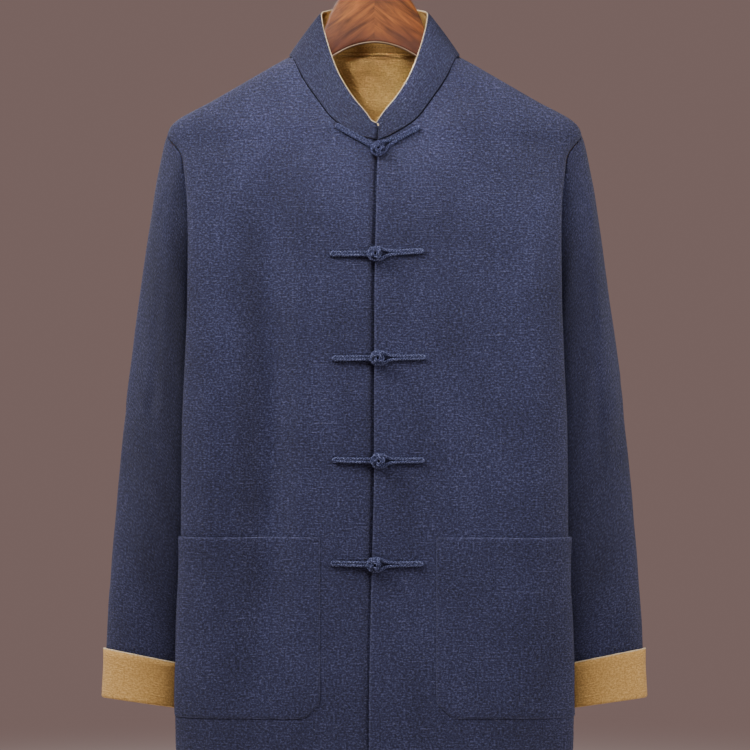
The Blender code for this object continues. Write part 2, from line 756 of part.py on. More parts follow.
def add_linings(grids, normals):
    """The lining where it shows: inside the collar and inside the upper back."""
    collar = parted(grids["collar"][0], False)
    outward = normals["collar"]
    near = collar - outward * (CLOTH + PARTING)
    wall_object("collar_lining", near, near - outward * LINING, "mustard_lining")
    back = parted(grids["back"][0], False)
    rows = slice(SHOULDER_ROW - LINING_ROWS_DOWN, None)
    columns = slice(LINING_SIDE_COLUMNS, -LINING_SIDE_COLUMNS)
    outward = normals["back"][rows, columns]
    near = back[rows, columns] - outward * (CLOTH + PARTING)
    wall_object("back_lining", near, near - outward * LINING, "mustard_lining")


def add_pockets(grids, normals):
    """Patch pockets from the clipped inner corner to the side seam."""
    rows = slice(LEVELS.index(POCKET_BOTTOM), LEVELS.index(POCKET_TOP) + 1)
    columns = slice(INNER_COLUMNS, None)
    for side in ("left", "right"):
        outer = parted(grids[f"front_{side}"][0], False)[rows, columns].copy()
        outward = normals[f"front_{side}"][rows, columns].copy()
        step = np.linalg.norm(outer[0, 1] - outer[0, 0])
        share = CLIP_WIDTH / step
        outer[0, 0] += (outer[0, 1] - outer[0, 0]) * share
        outward[0, 0] = unit(outward[0, 0] * (1 - share) + outward[0, 1] * share)
        near = outer + outward * PARTING
        wall_object(f"pocket_{side}", near + outward * CLOTH, near, "navy_cloth")


def add_frogs():
    """Five closures: a doubled cord that ends in a knot, and a loop that holds it."""
    side_step = CORD_RADIUS + STRAND_GAP / 2
    lift = CORD_RADIUS + FROG_LIFT
    for number, frog in enumerate(FROGS, start=1):
        knot = (frog.knot_x, frog.knot_z)
        stem_tip = (frog.stem_x, frog.stem_z)
        loop_tip = (frog.loop_x, frog.loop_z)
        toward = unit(np.array(stem_tip) - np.array(knot))
        root = np.array(knot) + toward * STEM_FROM_KNOT
        stem = laid_on_front(double_cord(stem_tip, root, side_step, CORD_RADIUS), lift)
        tube_object(f"frog_{number}_stem", stem, CORD_RADIUS, CORD_SIDES, "navy_cord")
        loop = laid_on_front(frog_loop(loop_tip, knot, side_step), lift)
        tube_object(f"frog_{number}_loop", loop, CORD_RADIUS, CORD_SIDES, "navy_cord")
        mesh = bmesh.new()
        bmesh.ops.create_uvsphere(mesh, u_segments=10, v_segments=6, radius=KNOT_RADIUS)
        centre = front_surface(*knot) - np.array([0.0, KNOT_LIFT + FROG_LIFT, 0.0])
        bmesh.ops.translate(mesh, verts=mesh.verts, vec=centre)
        mesh_object(f"frog_{number}_knot", mesh, "navy_cord", crease=80)


def add_hanger():
    """A flat wooden hanger with a high hump, its arms inside the shoulders."""
    half = [(row.x, row.z) for row in HANGER_TOP + HANGER_BOTTOM]
    outline = half + [(-x, z) for x, z in reversed(half[1:-1])]
    mesh = bmesh.new()
    front = HANGER_THICKNESS / 2
    base = [mesh.verts.new((x, -front, z)) for x, z in outline]
    face = mesh.faces.new(base)
    moved = bmesh.ops.extrude_face_region(mesh, geom=[face])
    top = [item for item in moved["geom"] if isinstance(item, bmesh.types.BMVert)]
    bmesh.ops.translate(mesh, verts=top, vec=(0.0, HANGER_THICKNESS, 0.0))
    bmesh.ops.recalc_face_normals(mesh, faces=mesh.faces)
    hanger = mesh_object("hanger", mesh, "hanger_wood", crease=50)
    bevel = hanger.modifiers.new("round_edges", "BEVEL")
    bevel.width = HANGER_BEVEL
    bevel.segments = 3
    bevel.limit_method = "ANGLE"
    bevel.angle_limit = radians(60)


def hook_path():
    """X, Z points of the hook: up from the hump, out, over the rail and down."""
    centre = (0.0, WIRE_RADIUS - HOOK_RADIUS)
    foot = [(0.0, HOOK_FOOT + FERRULE_HEIGHT + PARTING)]
    swing = [(row.x, row.z) for row in HOOK_SWING]
    return foot + swing + bend(centre, HOOK_RADIUS, *HOOK_ARC, HOOK_STEPS)


def add_hook():
    """Steel wire hook that turns on a small ferrule above the hump."""
    path = [(x, 0.0, z) for x, z in hook_path()]
    tube_object("hook", path, WIRE_RADIUS, WIRE_SIDES, "hook_metal")
    mesh = bmesh.new()
    bmesh.ops.create_cone(
        mesh,
        cap_ends=True,
        segments=16,
        radius1=FERRULE_RADIUS,
        radius2=FERRULE_RADIUS * 0.75,
        depth=FERRULE_HEIGHT,
    )
    bmesh.ops.translate(mesh, verts=mesh.verts, vec=(0.0, 0.0, HOOK_FOOT + FERRULE_HEIGHT / 2))
    mesh_object("ferrule", mesh, "hook_metal")


def build():
    for old in list(bpy.data.objects):
        bpy.data.objects.remove(old, do_unlink=True)
    fronts = {side: front_panel(side) for side in ("left", "right")}
    back = back_panel()
    right_sleeve = sleeve_grid(mirrored(fronts["right"]), mirrored(back[:, ::-1]))
    sleeves = {"left": sleeve_grid(fronts["left"], back), "right": mirrored(right_sleeve)}
    grids, normals = add_body(fronts, back, sleeves)
    add_cuffs(grids, normals)
    add_linings(grids, normals)
    add_pockets(grids, normals)
    add_frogs()
    add_hanger()
    add_hook()


build()
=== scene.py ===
# %% [markdown]
# # A tang jacket on its hanger
#
# A men's tang jacket is a loose, straight-cut jacket with a stand collar. It closes
# with frogs: knots and loops of cord made from the same cloth. This one is cut from
# slubby navy linen over a mustard reverse side, so the turned-back cuffs and the
# inside of the neck show mustard.
#
# Each cell below makes one piece or one finish. Everything is in metres, +Z is up, the
# jacket faces -Y, and the origin is where the rail touches the inside of the hook.

from collections import namedtuple
from math import cos, pi, radians, sin

import bmesh
import bpy
import numpy as np
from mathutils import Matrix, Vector
from mathutils.noise import noise


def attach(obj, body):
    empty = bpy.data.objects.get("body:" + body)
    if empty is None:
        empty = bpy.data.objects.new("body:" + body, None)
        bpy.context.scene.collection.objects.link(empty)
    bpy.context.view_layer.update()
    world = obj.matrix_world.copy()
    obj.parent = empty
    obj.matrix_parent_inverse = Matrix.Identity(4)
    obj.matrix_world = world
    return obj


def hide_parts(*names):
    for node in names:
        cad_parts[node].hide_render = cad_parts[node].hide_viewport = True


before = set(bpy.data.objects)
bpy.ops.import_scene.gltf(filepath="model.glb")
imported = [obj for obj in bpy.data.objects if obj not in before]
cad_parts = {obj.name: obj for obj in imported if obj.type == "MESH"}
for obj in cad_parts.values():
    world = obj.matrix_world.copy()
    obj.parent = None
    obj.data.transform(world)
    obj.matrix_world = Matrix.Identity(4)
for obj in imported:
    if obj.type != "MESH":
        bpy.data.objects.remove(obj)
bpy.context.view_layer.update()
print("solids in the frame:", len(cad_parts))

# %% [markdown]
# ## The camera
#
# A long lens straight in front keeps both sleeves upright and shows the collar from a
# little below. The lens follows from the picture's scale: so many metres of cloth to
# one pixel at the jacket's front, in a picture 750 pixels wide.

# %% Camera
PICTURE_SIZE = 750
METRES_PER_PIXEL = 1.06e-3
FRONT_DISTANCE = 2.600
CAMERA_PLACE = (0.0, -2.685, -0.488)
SENSOR_WIDTH = 36.0
CENTRE_LINE_PIXEL = 374.5


def put_in_scene(name, data):
    """Make an object of a mesh, a lamp or a camera, and link it into the scene."""
    made = bpy.data.objects.new(name, data)
    bpy.context.scene.collection.objects.link(made)
    return made


camera_data = bpy.data.cameras.new("camera")
camera_data.sensor_width = SENSOR_WIDTH
camera_data.lens = SENSOR_WIDTH * FRONT_DISTANCE / (PICTURE_SIZE * METRES_PER_PIXEL)
camera_data.shift_x = (PICTURE_SIZE / 2 - CENTRE_LINE_PIXEL) / PICTURE_SIZE
camera = put_in_scene("camera", camera_data)
camera.location = CAMERA_PLACE
camera.rotation_euler = (pi / 2, 0.0, 0.0)
bpy.context.scene.camera = camera
print(f"camera lens: {camera_data.lens:.1f} mm")

# %% [markdown]
# ## The studio
#
# Dark cloth shows its folds only under a light that grazes it. The key light stands
# high in front, so that the shoulders are bright and the hem is in half shade. A strong
# light high on the left draws the folds, and a weaker one on the right opens their
# shadows. A narrow light reaches into the neck, and one behind shows the back. The room
# has a warm grey-brown colour that fills what is left, and the pale floor, far below
# the hem, fades into it.

# %% Nodes of a material
def add_node(tree, kind, inputs=None, **settings):
    """Add a shader node, with its settings and the values or links of its inputs."""
    node = tree.nodes.new(kind)
    for key, value in settings.items():
        setattr(node, key, value)
    for key, value in (inputs or {}).items():
        if isinstance(value, bpy.types.NodeSocket):
            tree.links.new(value, node.inputs[key])
        else:
            node.inputs[key].default_value = value
    return node


def new_material(name):
    """A new material, with its node tree and its main shader."""
    material = bpy.data.materials.new(name)
    material.use_nodes = True
    return material, material.node_tree, material.node_tree.nodes["Principled BSDF"]


def set_inputs(node, values):
    """Set plain values on a node's own inputs."""
    for key, value in values.items():
        node.inputs[key].default_value = value


# %% Floor and room
FLOOR_HEIGHT = -1.30
FLOOR_HALF = 9.0
FLOOR_LOOK = {"Base Color": (0.62, 0.60, 0.58, 1.0), "Roughness": 0.9}
ROOM_LOOK = {"Color": (0.86, 0.570, 0.530, 1.0), "Strength": 0.225}
# The floor fades into the room between these two distances from its middle.
FLOOR_FADES = (1.2, 3.2)

floor_mesh = bpy.data.meshes.new("studio_floor")
floor_corners = [(-1, -1), (1, -1), (1, 1), (-1, 1)]
floor_points = [(x * FLOOR_HALF, y * FLOOR_HALF, 0.0) for x, y in floor_corners]
floor_mesh.from_pydata(floor_points, [], [(0, 1, 2, 3)])
floor = put_in_scene("studio_floor", floor_mesh)
floor.location.z = FLOOR_HEIGHT

floor_material, floor_tree, floor_shader = new_material("pale_floor")
set_inputs(floor_shader, FLOOR_LOOK)
haze = add_node(floor_tree, "ShaderNodeEmission", ROOM_LOOK)
spot = add_node(floor_tree, "ShaderNodeTexCoord").outputs["Object"]
reach = add_node(floor_tree, "ShaderNodeVectorMath", {0: spot}, operation="LENGTH")
from_middle = {"Value": reach.outputs["Value"], 1: FLOOR_FADES[0], 2: FLOOR_FADES[1]}
fade = add_node(floor_tree, "ShaderNodeMapRange", from_middle, interpolation_type="SMOOTHSTEP")
mixed = {0: fade.outputs["Result"], 1: floor_shader.outputs[0], 2: haze.outputs[0]}
blend = add_node(floor_tree, "ShaderNodeMixShader", mixed)
floor_tree.links.new(blend.outputs[0], floor_tree.nodes["Material Output"].inputs["Surface"])
floor_mesh.materials.append(floor_material)

room = bpy.data.worlds.new("studio_room")
room.use_nodes = True
set_inputs(room.node_tree.nodes["Background"], ROOM_LOOK)
bpy.context.scene.world = room
print("floor height:", FLOOR_HEIGHT)

# %% Studio lights
StudioLight = namedtuple("StudioLight", "name place aim width height watts spread")
STUDIO_LIGHTS = [
    StudioLight("key", (-0.22, -0.78, 0.60), (0.0, 0.0, -0.20), 0.9, 0.4, 10.9, 180),
    StudioLight("right", (1.02, -0.66, -0.10), (0.12, 0.0, -0.38), 0.4, 0.8, 11.3, 180),
    StudioLight("left", (-1.78, -0.80, 1.14), (0.0, 0.0, -0.25), 0.5, 0.9, 67, 180),
    StudioLight("neck", (-0.42, -1.45, 0.05), (0.0, 0.03, -0.172), 0.2, 0.2, 0.10, 8),
    StudioLight("back", (-0.60, 2.30, 0.60), (0.0, 0.0, -0.45), 1.6, 1.6, 44, 180),
]
for row in STUDIO_LIGHTS:
    lamp = bpy.data.lights.new(f"studio_{row.name}", "AREA")
    lamp.shape = "RECTANGLE"
    lamp.size = row.width
    lamp.size_y = row.height
    lamp.energy = row.watts
    lamp.spread = radians(row.spread)
    holder = put_in_scene(f"studio_{row.name}", lamp)
    holder.location = row.place
    aim = Vector(row.aim) - Vector(row.place)
    holder.rotation_euler = aim.to_track_quat("-Z", "Y").to_euler()
print("studio lights:", [row.name for row in STUDIO_LIGHTS])

# %% [markdown]
# ## The garment's own sizes
#
# The jacket is a stack of level sections. Each section is a rounded oval, so wide and
# so deep, drawn in at the side seam where the sleeve hangs. A few rows say how it
# changes from the hem to the neck, and a smooth curve is read between them, so the
# cloth can be cut as finely as the folds need. The solids that carry the collision are
# shaped by tables of the same kind. The cloth keeps to their form within a few
# millimetres, and only its deepest folds depart from it more.

# %% Sections of the body
HEM = -0.890
UNDERARM = -0.455
SHOULDER = -0.2255
NECK_POINT = -0.140

Section = namedtuple("Section", "height half_width front back squareness pinch tilt")
BODY = [
    Section(-0.890, 0.2130, 0.0900, 0.0780, 4.0, 0.17, 0.00),
    Section(-0.840, 0.2130, 0.0905, 0.0780, 4.6, 0.26, 0.00),
    Section(-0.760, 0.2112, 0.0905, 0.0780, 5.0, 0.30, 0.00),
    Section(-0.665, 0.2068, 0.0900, 0.0780, 5.0, 0.34, 0.00),
    Section(-0.548, 0.2057, 0.0875, 0.0765, 5.0, 0.37, 0.00),
    Section(-0.455, 0.2020, 0.0840, 0.0750, 5.0, 0.38, 0.02),
    Section(-0.400, 0.2004, 0.0800, 0.0730, 5.0, 0.38, 0.05),
    Section(-0.342, 0.2004, 0.0740, 0.0700, 4.4, 0.36, 0.10),
    Section(-0.300, 0.2015, 0.0680, 0.0660, 4.2, 0.30, 0.14),
    Section(-0.273, 0.2047, 0.0620, 0.0620, 3.5, 0.21, 0.16),
    Section(-0.248, 0.2092, 0.0560, 0.0585, 3.1, 0.10, 0.18),
    Section(-0.2255, 0.2265, 0.0500, 0.0550, 2.5, 0.00, 0.20),
    Section(-0.2198, 0.2250, 0.0485, 0.0540, 2.5, 0.00, 0.20),
    Section(-0.2132, 0.2206, 0.0470, 0.0530, 2.5, 0.00, 0.20),
    Section(-0.188, 0.1770, 0.0370, 0.0490, 2.5, 0.00, 0.20),
    Section(-0.165, 0.1373, 0.0290, 0.0450, 2.5, 0.00, 0.20),
    Section(-0.140, 0.0941, 0.0200, 0.0400, 2.5, 0.00, 0.20),
]

Neckline = namedtuple("Neckline", "height half_width")
NECK = [
    Neckline(-0.2260, 0.0000),
    Neckline(-0.2253, 0.0050),
    Neckline(-0.2173, 0.0232),
    Neckline(-0.2030, 0.0455),
    Neckline(-0.1820, 0.0625),
    Neckline(-0.1630, 0.0766),
    Neckline(-0.1430, 0.0872),
    Neckline(-0.1375, 0.0900),
]

Armhole = namedtuple("Armhole", "share front back")
ARMHOLE = [
    Armhole(0.00, 0.000, 0.000),
    Armhole(0.03, 0.010, 0.010),
    Armhole(0.11, 0.022, 0.021),
    Armhole(0.25, 0.034, 0.031),
    Armhole(0.50, 0.041, 0.037),
    Armhole(0.75, 0.037, 0.033),
    Armhole(0.90, 0.027, 0.024),
    Armhole(0.97, 0.015, 0.013),
    Armhole(1.00, 0.000, 0.000),
]

LapEdge = namedtuple("LapEdge", "height x")
LAP_EDGE = [
    LapEdge(-0.890, -0.0058),
    LapEdge(-0.830, -0.0056),
    LapEdge(-0.717, -0.0034),
    LapEdge(-0.600, -0.0006),
    LapEdge(-0.400, 0.0000),
    LapEdge(-0.308, 0.0016),
    LapEdge(-0.2255, 0.0040),
]
# The underlap narrows towards the neck between two heights.
UNDERLAP = 0.020
UNDERLAP_AT_NECK = 0.003
UNDERLAP_NARROWS = (-0.330, -0.230)
# It drops back behind the left front. The drop eases to a smaller one at the hem between
# two heights, and it fades to nothing between two distances outside the lap edge.
UNDERLAP_DROP = 0.0046
HEM_DROP = 0.0026
DROP_EASES = (-0.640, -0.740)
DROP_ENDS = (0.0008, 0.0085)
print(f"length from the neck point to the hem: {NECK_POINT - HEM:.3f} m")

# %% [markdown]
# ## Folds and creases
#
# Linen hangs in broad soft folds and keeps small creases from being worn and pressed.
# A crease could be painted into a bump map, but then it would vanish at the outline
# and in a raking light. Here each one is a short line laid on its panel. Its
# row says how far it reaches to each side and how deep it is pressed in, and a depth
# below zero raises a ridge. The broad folds have a table of their own.

# %% Folds of the fronts and the back
Fold = namedtuple("Fold", "panel top_x top_z bottom_x bottom_z reach depth")
BROAD_FOLDS = [
    Fold("front", -0.1140, -0.235, -0.1150, -0.830, 0.038, 0.0132),
    Fold("front", -0.0880, -0.260, -0.0890, -0.800, 0.060, 0.0060),
    Fold("front", -0.1740, -0.280, -0.1760, -0.860, 0.030, -0.0030),
    Fold("front", 0.1720, -0.250, 0.1740, -0.870, 0.052, -0.0105),
    Fold("back", -0.1120, -0.280, -0.0980, -0.760, 0.040, 0.0058),
    Fold("back", -0.0300, -0.260, -0.0380, -0.640, 0.036, -0.0030),
    Fold("back", 0.0380, -0.400, 0.0300, -0.900, 0.040, 0.0046),
    Fold("back", 0.1200, -0.300, 0.1100, -0.820, 0.038, 0.0052),
]
CREASES = [
    Fold("front", -0.074, -0.148, -0.098, -0.196, 0.007, 0.0011),
    Fold("front", -0.088, -0.158, -0.118, -0.214, 0.009, 0.0009),
    Fold("front", -0.060, -0.196, -0.094, -0.262, 0.010, 0.0008),
    Fold("front", 0.078, -0.150, 0.102, -0.192, 0.007, 0.0012),
    Fold("front", 0.090, -0.166, 0.124, -0.222, 0.009, 0.0008),
    Fold("front", 0.062, -0.190, 0.084, -0.250, 0.010, 0.0009),
    Fold("front", -0.176, -0.262, -0.150, -0.372, 0.012, 0.0014),
    Fold("front", -0.186, -0.300, -0.168, -0.420, 0.009, 0.0011),
    Fold("front", 0.178, -0.256, 0.156, -0.352, 0.012, 0.0012),
    Fold("front", 0.187, -0.310, 0.171, -0.436, 0.009, 0.0012),
    Fold("front", -0.020, -0.250, -0.034, -0.352, 0.011, 0.0012),
    Fold("front", 0.020, -0.262, 0.031, -0.350, 0.010, 0.0009),
    Fold("front", -0.018, -0.372, -0.028, -0.462, 0.011, 0.0012),
    Fold("front", -0.016, -0.482, -0.026, -0.572, 0.011, 0.0012),
    Fold("front", -0.018, -0.592, -0.030, -0.682, 0.010, 0.0010),
    Fold("front", -0.050, -0.700, -0.046, -0.850, 0.012, 0.0012),
    Fold("front", 0.044, -0.640, 0.050, -0.830, 0.012, 0.0012),
    Fold("front", -0.150, -0.862, -0.080, -0.870, 0.006, 0.0009),
    Fold("front", -0.056, -0.862, -0.112, -0.878, 0.008, -0.0010),
    Fold("front", 0.080, -0.866, 0.150, -0.872, 0.006, 0.0009),
    Fold("front", -0.148, -0.560, -0.110, -0.650, 0.012, 0.0010),
    Fold("front", 0.128, -0.500, 0.096, -0.590, 0.013, 0.0010),
    Fold("front", -0.102, -0.330, -0.108, -0.470, 0.010, -0.0008),
    Fold("front", 0.126, -0.340, 0.118, -0.470, 0.011, 0.0009),
    Fold("front", 0.066, -0.420, 0.060, -0.560, 0.010, -0.0008),
    Fold("back", -0.172, -0.262, -0.140, -0.372, 0.012, 0.0015),
    Fold("back", -0.184, -0.330, -0.160, -0.450, 0.010, 0.0012),
    Fold("back", 0.170, -0.258, 0.142, -0.350, 0.012, 0.0013),
    Fold("back", 0.182, -0.322, 0.165, -0.430, 0.010, 0.0012),
    Fold("back", -0.078, -0.160, -0.104, -0.220, 0.009, 0.0010),
    Fold("back", 0.082, -0.162, 0.112, -0.226, 0.009, 0.0010),
    Fold("back", 0.010, -0.160, 0.016, -0.260, 0.012, 0.0008),
    Fold("back", -0.070, -0.400, -0.060, -0.560, 0.012, 0.0010),
    Fold("back", 0.078, -0.480, 0.070, -0.660, 0.013, 0.0011),
    Fold("back", -0.140, -0.600, -0.120, -0.740, 0.012, 0.0011),
    Fold("back", 0.004, -0.640, -0.010, -0.800, 0.013, 0.0012),
    Fold("back", 0.150, -0.660, 0.140, -0.850, 0.012, 0.0012),
    Fold("back", -0.064, -0.720, -0.060, -0.880, 0.012, 0.0012),
]
# A fold of the body fades between these shares of a section's depth, short of the side.
SIDE_SHARE = 0.35
FACE_SHARE = 0.75
print("broad folds:", len(BROAD_FOLDS), "small creases:", len(CREASES))

# %% [markdown]
# ## Reading the tables
#
# The rows of a table are joined by a smooth curve that never swings past them, as a
# cutter joins marks with a French curve. A spline would overshoot at the shoulder,
# where wide rows and narrow rows stand close together.

# %% Smooth reading
def smooth_read(places, values, at):
    """Read a table as a smooth curve that never overshoots between its rows."""
    places = np.asarray(places, float)
    values = np.asarray(values, float)
    steps = np.diff(places)
    slopes = np.diff(values) / steps
    tangents = np.zeros_like(values)
    tangents[0] = slopes[0]
    tangents[-1] = slopes[-1]
    for i in range(1, len(values) - 1):
        if slopes[i - 1] * slopes[i] > 0:
            tangents[i] = 2 * slopes[i - 1] * slopes[i] / (slopes[i - 1] + slopes[i])
    at = min(max(at, places[0]), places[-1])
    i = min(int(np.searchsorted(places, at, side="right")) - 1, len(steps) - 1)
    t = (at - places[i]) / steps[i]
    rise = 2 * t**3 - 3 * t**2
    start = (1 + rise) * values[i] + (t**3 - 2 * t**2 + t) * steps[i] * tangents[i]
    end = -rise * values[i + 1] + (t**3 - t**2) * steps[i] * tangents[i + 1]
    return float(start + end)


def read_row(table, key, at):
    """Read every other column of a named table at one value of its key column."""
    places = [getattr(row, key) for row in table]
    others = [field for field in table[0]._fields if field != key]
    values = {f: smooth_read(places, [getattr(r, f) for r in table], at) for f in others}
    return type(table[0])(**{key: at}, **values)


def ease(share):
    """Go from 0 to 1 with level ends."""
    share = np.clip(share, 0.0, 1.0)
    return share * share * (3 - 2 * share)


def along(points):
    """Length run from the first point to each point of a line."""
    steps = np.linalg.norm(np.diff(points, axis=0), axis=1)
    return np.concatenate([[0.0], np.cumsum(steps)])


def points_at(places, run, line):
    """Points of a line at some lengths along it. Run is the length at each of its own."""
    return np.column_stack([np.interp(places, run, line[:, k]) for k in range(3)])


def unit(vectors):
    """The same directions, each one long."""
    return vectors / np.linalg.norm(vectors, axis=-1, keepdims=True)


print(f"half-width of the neckline 50 mm up: {read_row(NECK, 'height', -0.176).half_width:.4f}")

# %% [markdown]
# ## The body's surface
#
# A point of the body is named by its level and by its length round the section from
# the centre line. That is how a tailor measures, and it keeps the cloth's threads
# evenly spaced where the section turns the corner at the side. Folds are pressed in
# along Y after that. A faint unevenness, well under a millimetre, is added everywhere,
# because hung linen is never quite smooth.

# %% Points on the body
FRONT = -1
BACK = 1
SECTION_STEPS = 300
RUMPLE = 0.00050
RUMPLE_SIZE = 0.045
# A small crease wanders by a part of its reach, and its depth is uneven. Both go as
# waves along it, so many radians from its top to its bottom.
CREASE_WANDER = 0.35
WANDER_WAVE = 7
CREASE_UNEVEN = 0.30
UNEVEN_WAVE = 11
# How bluntly a fold ends at its top and bottom.
FOLD_BLUNT = 0.7
# A tilted section meets a height at a level that is found in a few rounds.
LEVEL_ROUNDS = 4
traced = {}


def half_section(level, face):
    """Trace one quarter of a level section, from the centre line to the side line."""
    if (level, face) not in traced:
        row = read_row(BODY, "height", level)
        depth = row.front if face == FRONT else row.back
        angle = np.linspace(0, pi / 2, SECTION_STEPS)
        share = np.cos(angle) ** (2 / row.squareness)
        x = np.sin(angle) ** (2 / row.squareness) * (1 - row.pinch * (1 - share**2) ** 2)
        x *= row.half_width / x.max()
        y = face * depth * share
        traced[level, face] = np.column_stack([x, y, level + row.tilt * y])
    return traced[level, face]


def pressed_in(x, level, panel):
    """Depth of the folds and creases of a panel at points x of one level."""
    total = np.zeros_like(x)
    for number, fold in enumerate(BROAD_FOLDS + CREASES):
        if fold.panel != panel:
            continue
        run_x = fold.bottom_x - fold.top_x
        run_z = fold.bottom_z - fold.top_z
        length = np.hypot(run_x, run_z)
        off_x = x - fold.top_x
        off_z = level - fold.top_z
        down = np.clip((off_x * run_x + off_z * run_z) / length**2, 0.0, 1.0)
        aside = (off_x * run_z - off_z * run_x) / length
        small = number >= len(BROAD_FOLDS)
        wander = CREASE_WANDER * fold.reach * np.sin(WANDER_WAVE * down + number) * small
        uneven = 1 + CREASE_UNEVEN * np.sin(UNEVEN_WAVE * down + 2 * number) * small
        away = np.abs(aside + wander) / fold.reach
        total += fold.depth * uneven * (1 - ease(away)) * np.sin(pi * down) ** FOLD_BLUNT
    return total


def rumple(x, level, seed):
    """A faint unevenness of the cloth, the same each time."""
    places = np.stack([x, np.full_like(x, level)], axis=-1) / RUMPLE_SIZE
    return np.array([noise(Vector((a, b, seed))) for a, b in places]) * RUMPLE


def body_row(level, face, lengths):
    """Points of one face at signed lengths from the centre line, on one level."""
    level = float(level)
    lengths = np.asarray(lengths, float)
    line = half_section(level, face)
    points = points_at(np.abs(lengths), along(line), line)
    points[:, 0] *= np.where(lengths < 0, -1.0, 1.0)
    faced = ease((points[:, 1] / line[0, 1] - SIDE_SHARE) / (FACE_SHARE - SIDE_SHARE))
    panel = "front" if face == FRONT else "back"
    depth = pressed_in(points[:, 0], level, panel) + rumple(points[:, 0], level, face)
    points[:, 1] -= face * depth * faced
    return points


def place_at_x(level, face, x):
    """Signed length along a section at which it is x off the centre."""
    line = half_section(float(level), face)
    widest = int(line[:, 0].argmax())
    return float(np.interp(abs(x), line[:widest, 0], along(line)[:widest])) * np.sign(x)


def side_length(level, face):
    """Length along a section from the centre line to the side line."""
    return float(along(half_section(float(level), face))[-1])


def lap_edge(level):
    """How far off the centre the left front's edge lies at a level."""
    return read_row(LAP_EDGE, "height", level).x


def front_surface(x, z):
    """The outer point of the closed front at an X and a height."""
    level = z
    for _ in range(LEVEL_ROUNDS):
        point = body_row(level, FRONT, [place_at_x(level, FRONT, x)])[0]
        level += z - point[2]
    return point


print("front depth at the chest:", front_surface(0.03, -0.40).round(4))

# %% [markdown]
# ## How finely the cloth is cut
#
# A 5 mm grid is fine enough for a soft fold, and too coarse for an edge. So each grid
# has a few extra lines close to its edges. There the cloth rolls down a little, which
# makes a seam look sewn and an edge look pressed.

# %% Levels and columns
GRID = 0.0050
EDGE_LINES = (0.0010, 0.0024, 0.0042)
ARMHOLE_ROWS = 46
SHOULDER_ROWS = 22


def graded(length, grid=GRID):
    """Shares of a length with extra lines close to both ends."""
    near = [place / length for place in EDGE_LINES]
    count = max(int(round((length - 2 * EDGE_LINES[-1]) / grid)), 2)
    middle = list(np.linspace(near[-1], 1 - near[-1], count + 1))
    return np.array([0.0] + near[:-1] + middle + [1 - place for place in near[-2::-1]] + [1.0])


def body_levels():
    """Levels of the rows, and the numbers of the underarm row and the shoulder row."""
    lower = HEM + (UNDERARM - HEM) * graded(UNDERARM - HEM)[:-4]
    turn = np.linspace(0, pi, ARMHOLE_ROWS + 1)
    armhole = UNDERARM + (SHOULDER - UNDERARM) * (1 - np.cos(turn)) / 2
    upper = SHOULDER + (NECK_POINT - SHOULDER) * np.linspace(0, 1, SHOULDER_ROWS + 1)[1:]
    return np.concatenate([lower, armhole, upper]), len(lower), len(lower) + ARMHOLE_ROWS


LEVELS, UNDERARM_ROW, SHOULDER_ROW = body_levels()
print("rows of a panel:", len(LEVELS), "underarm row:", UNDERARM_ROW, "shoulder row:", SHOULDER_ROW)

# %% [markdown]
# ## The cut panels
#
# A front is bounded by the lap edge, the neckline, the shoulder, the armhole, the side
# seam and the hem. The right front carries on under the left one as an underlap, and it
# drops back there to leave room for the lap. Below the last frog it drops back less.

# %% Grids of the fronts and the back
Grid = namedtuple("Grid", "points threads")
FRONT_WIDTH = 0.262
UNDERLAP_COLUMNS = 6
LAP_LINES = (0.0010, 0.0020, 0.0032, 0.0046, 0.0062, 0.0082, 0.0110, 0.0150)
BACK_HALF_WIDTH = 0.250


def panel_end(level, face):
    """Length along a section at which a panel ends: side seam, armhole or shoulder."""
    length = side_length(level, face)
    if UNDERARM < level < SHOULDER:
        share = (level - UNDERARM) / (SHOULDER - UNDERARM)
        row = read_row(ARMHOLE, "share", share)
        length -= row.front if face == FRONT else row.back
    return length


def front_edge(side, row, level):
    """X of a front's own edge, and how far the underlap runs past the lap edge."""
    mirror = 1 if side == "left" else -1
    if row > SHOULDER_ROW:
        return read_row(NECK, "height", level).half_width, 0.0
    if row == SHOULDER_ROW or side == "left":
        return mirror * lap_edge(level), 0.0
    low, high = UNDERLAP_NARROWS
    under = UNDERLAP + (UNDERLAP_AT_NECK - UNDERLAP) * ease((level - low) / (high - low))
    return -lap_edge(level) - under, under


def underlap_drop(level):
    """How far the underlap lies below the closed front: less below the last frog."""
    start, end = DROP_EASES
    return UNDERLAP_DROP + (HEM_DROP - UNDERLAP_DROP) * ease((start - level) / (start - end))


def front_columns(side, start, lap, end):
    """Lengths of a row's points, from the front's own edge to its side seam."""
    if side == "left":
        return start + (end - start) * graded(FRONT_WIDTH)
    under = start + (lap - start) * np.linspace(0, 1, UNDERLAP_COLUMNS)
    past = lap + np.array(LAP_LINES)
    rest = past[-1] + (end - past[-1]) * graded(FRONT_WIDTH)[len(EDGE_LINES):]
    return np.concatenate([under, past, rest])


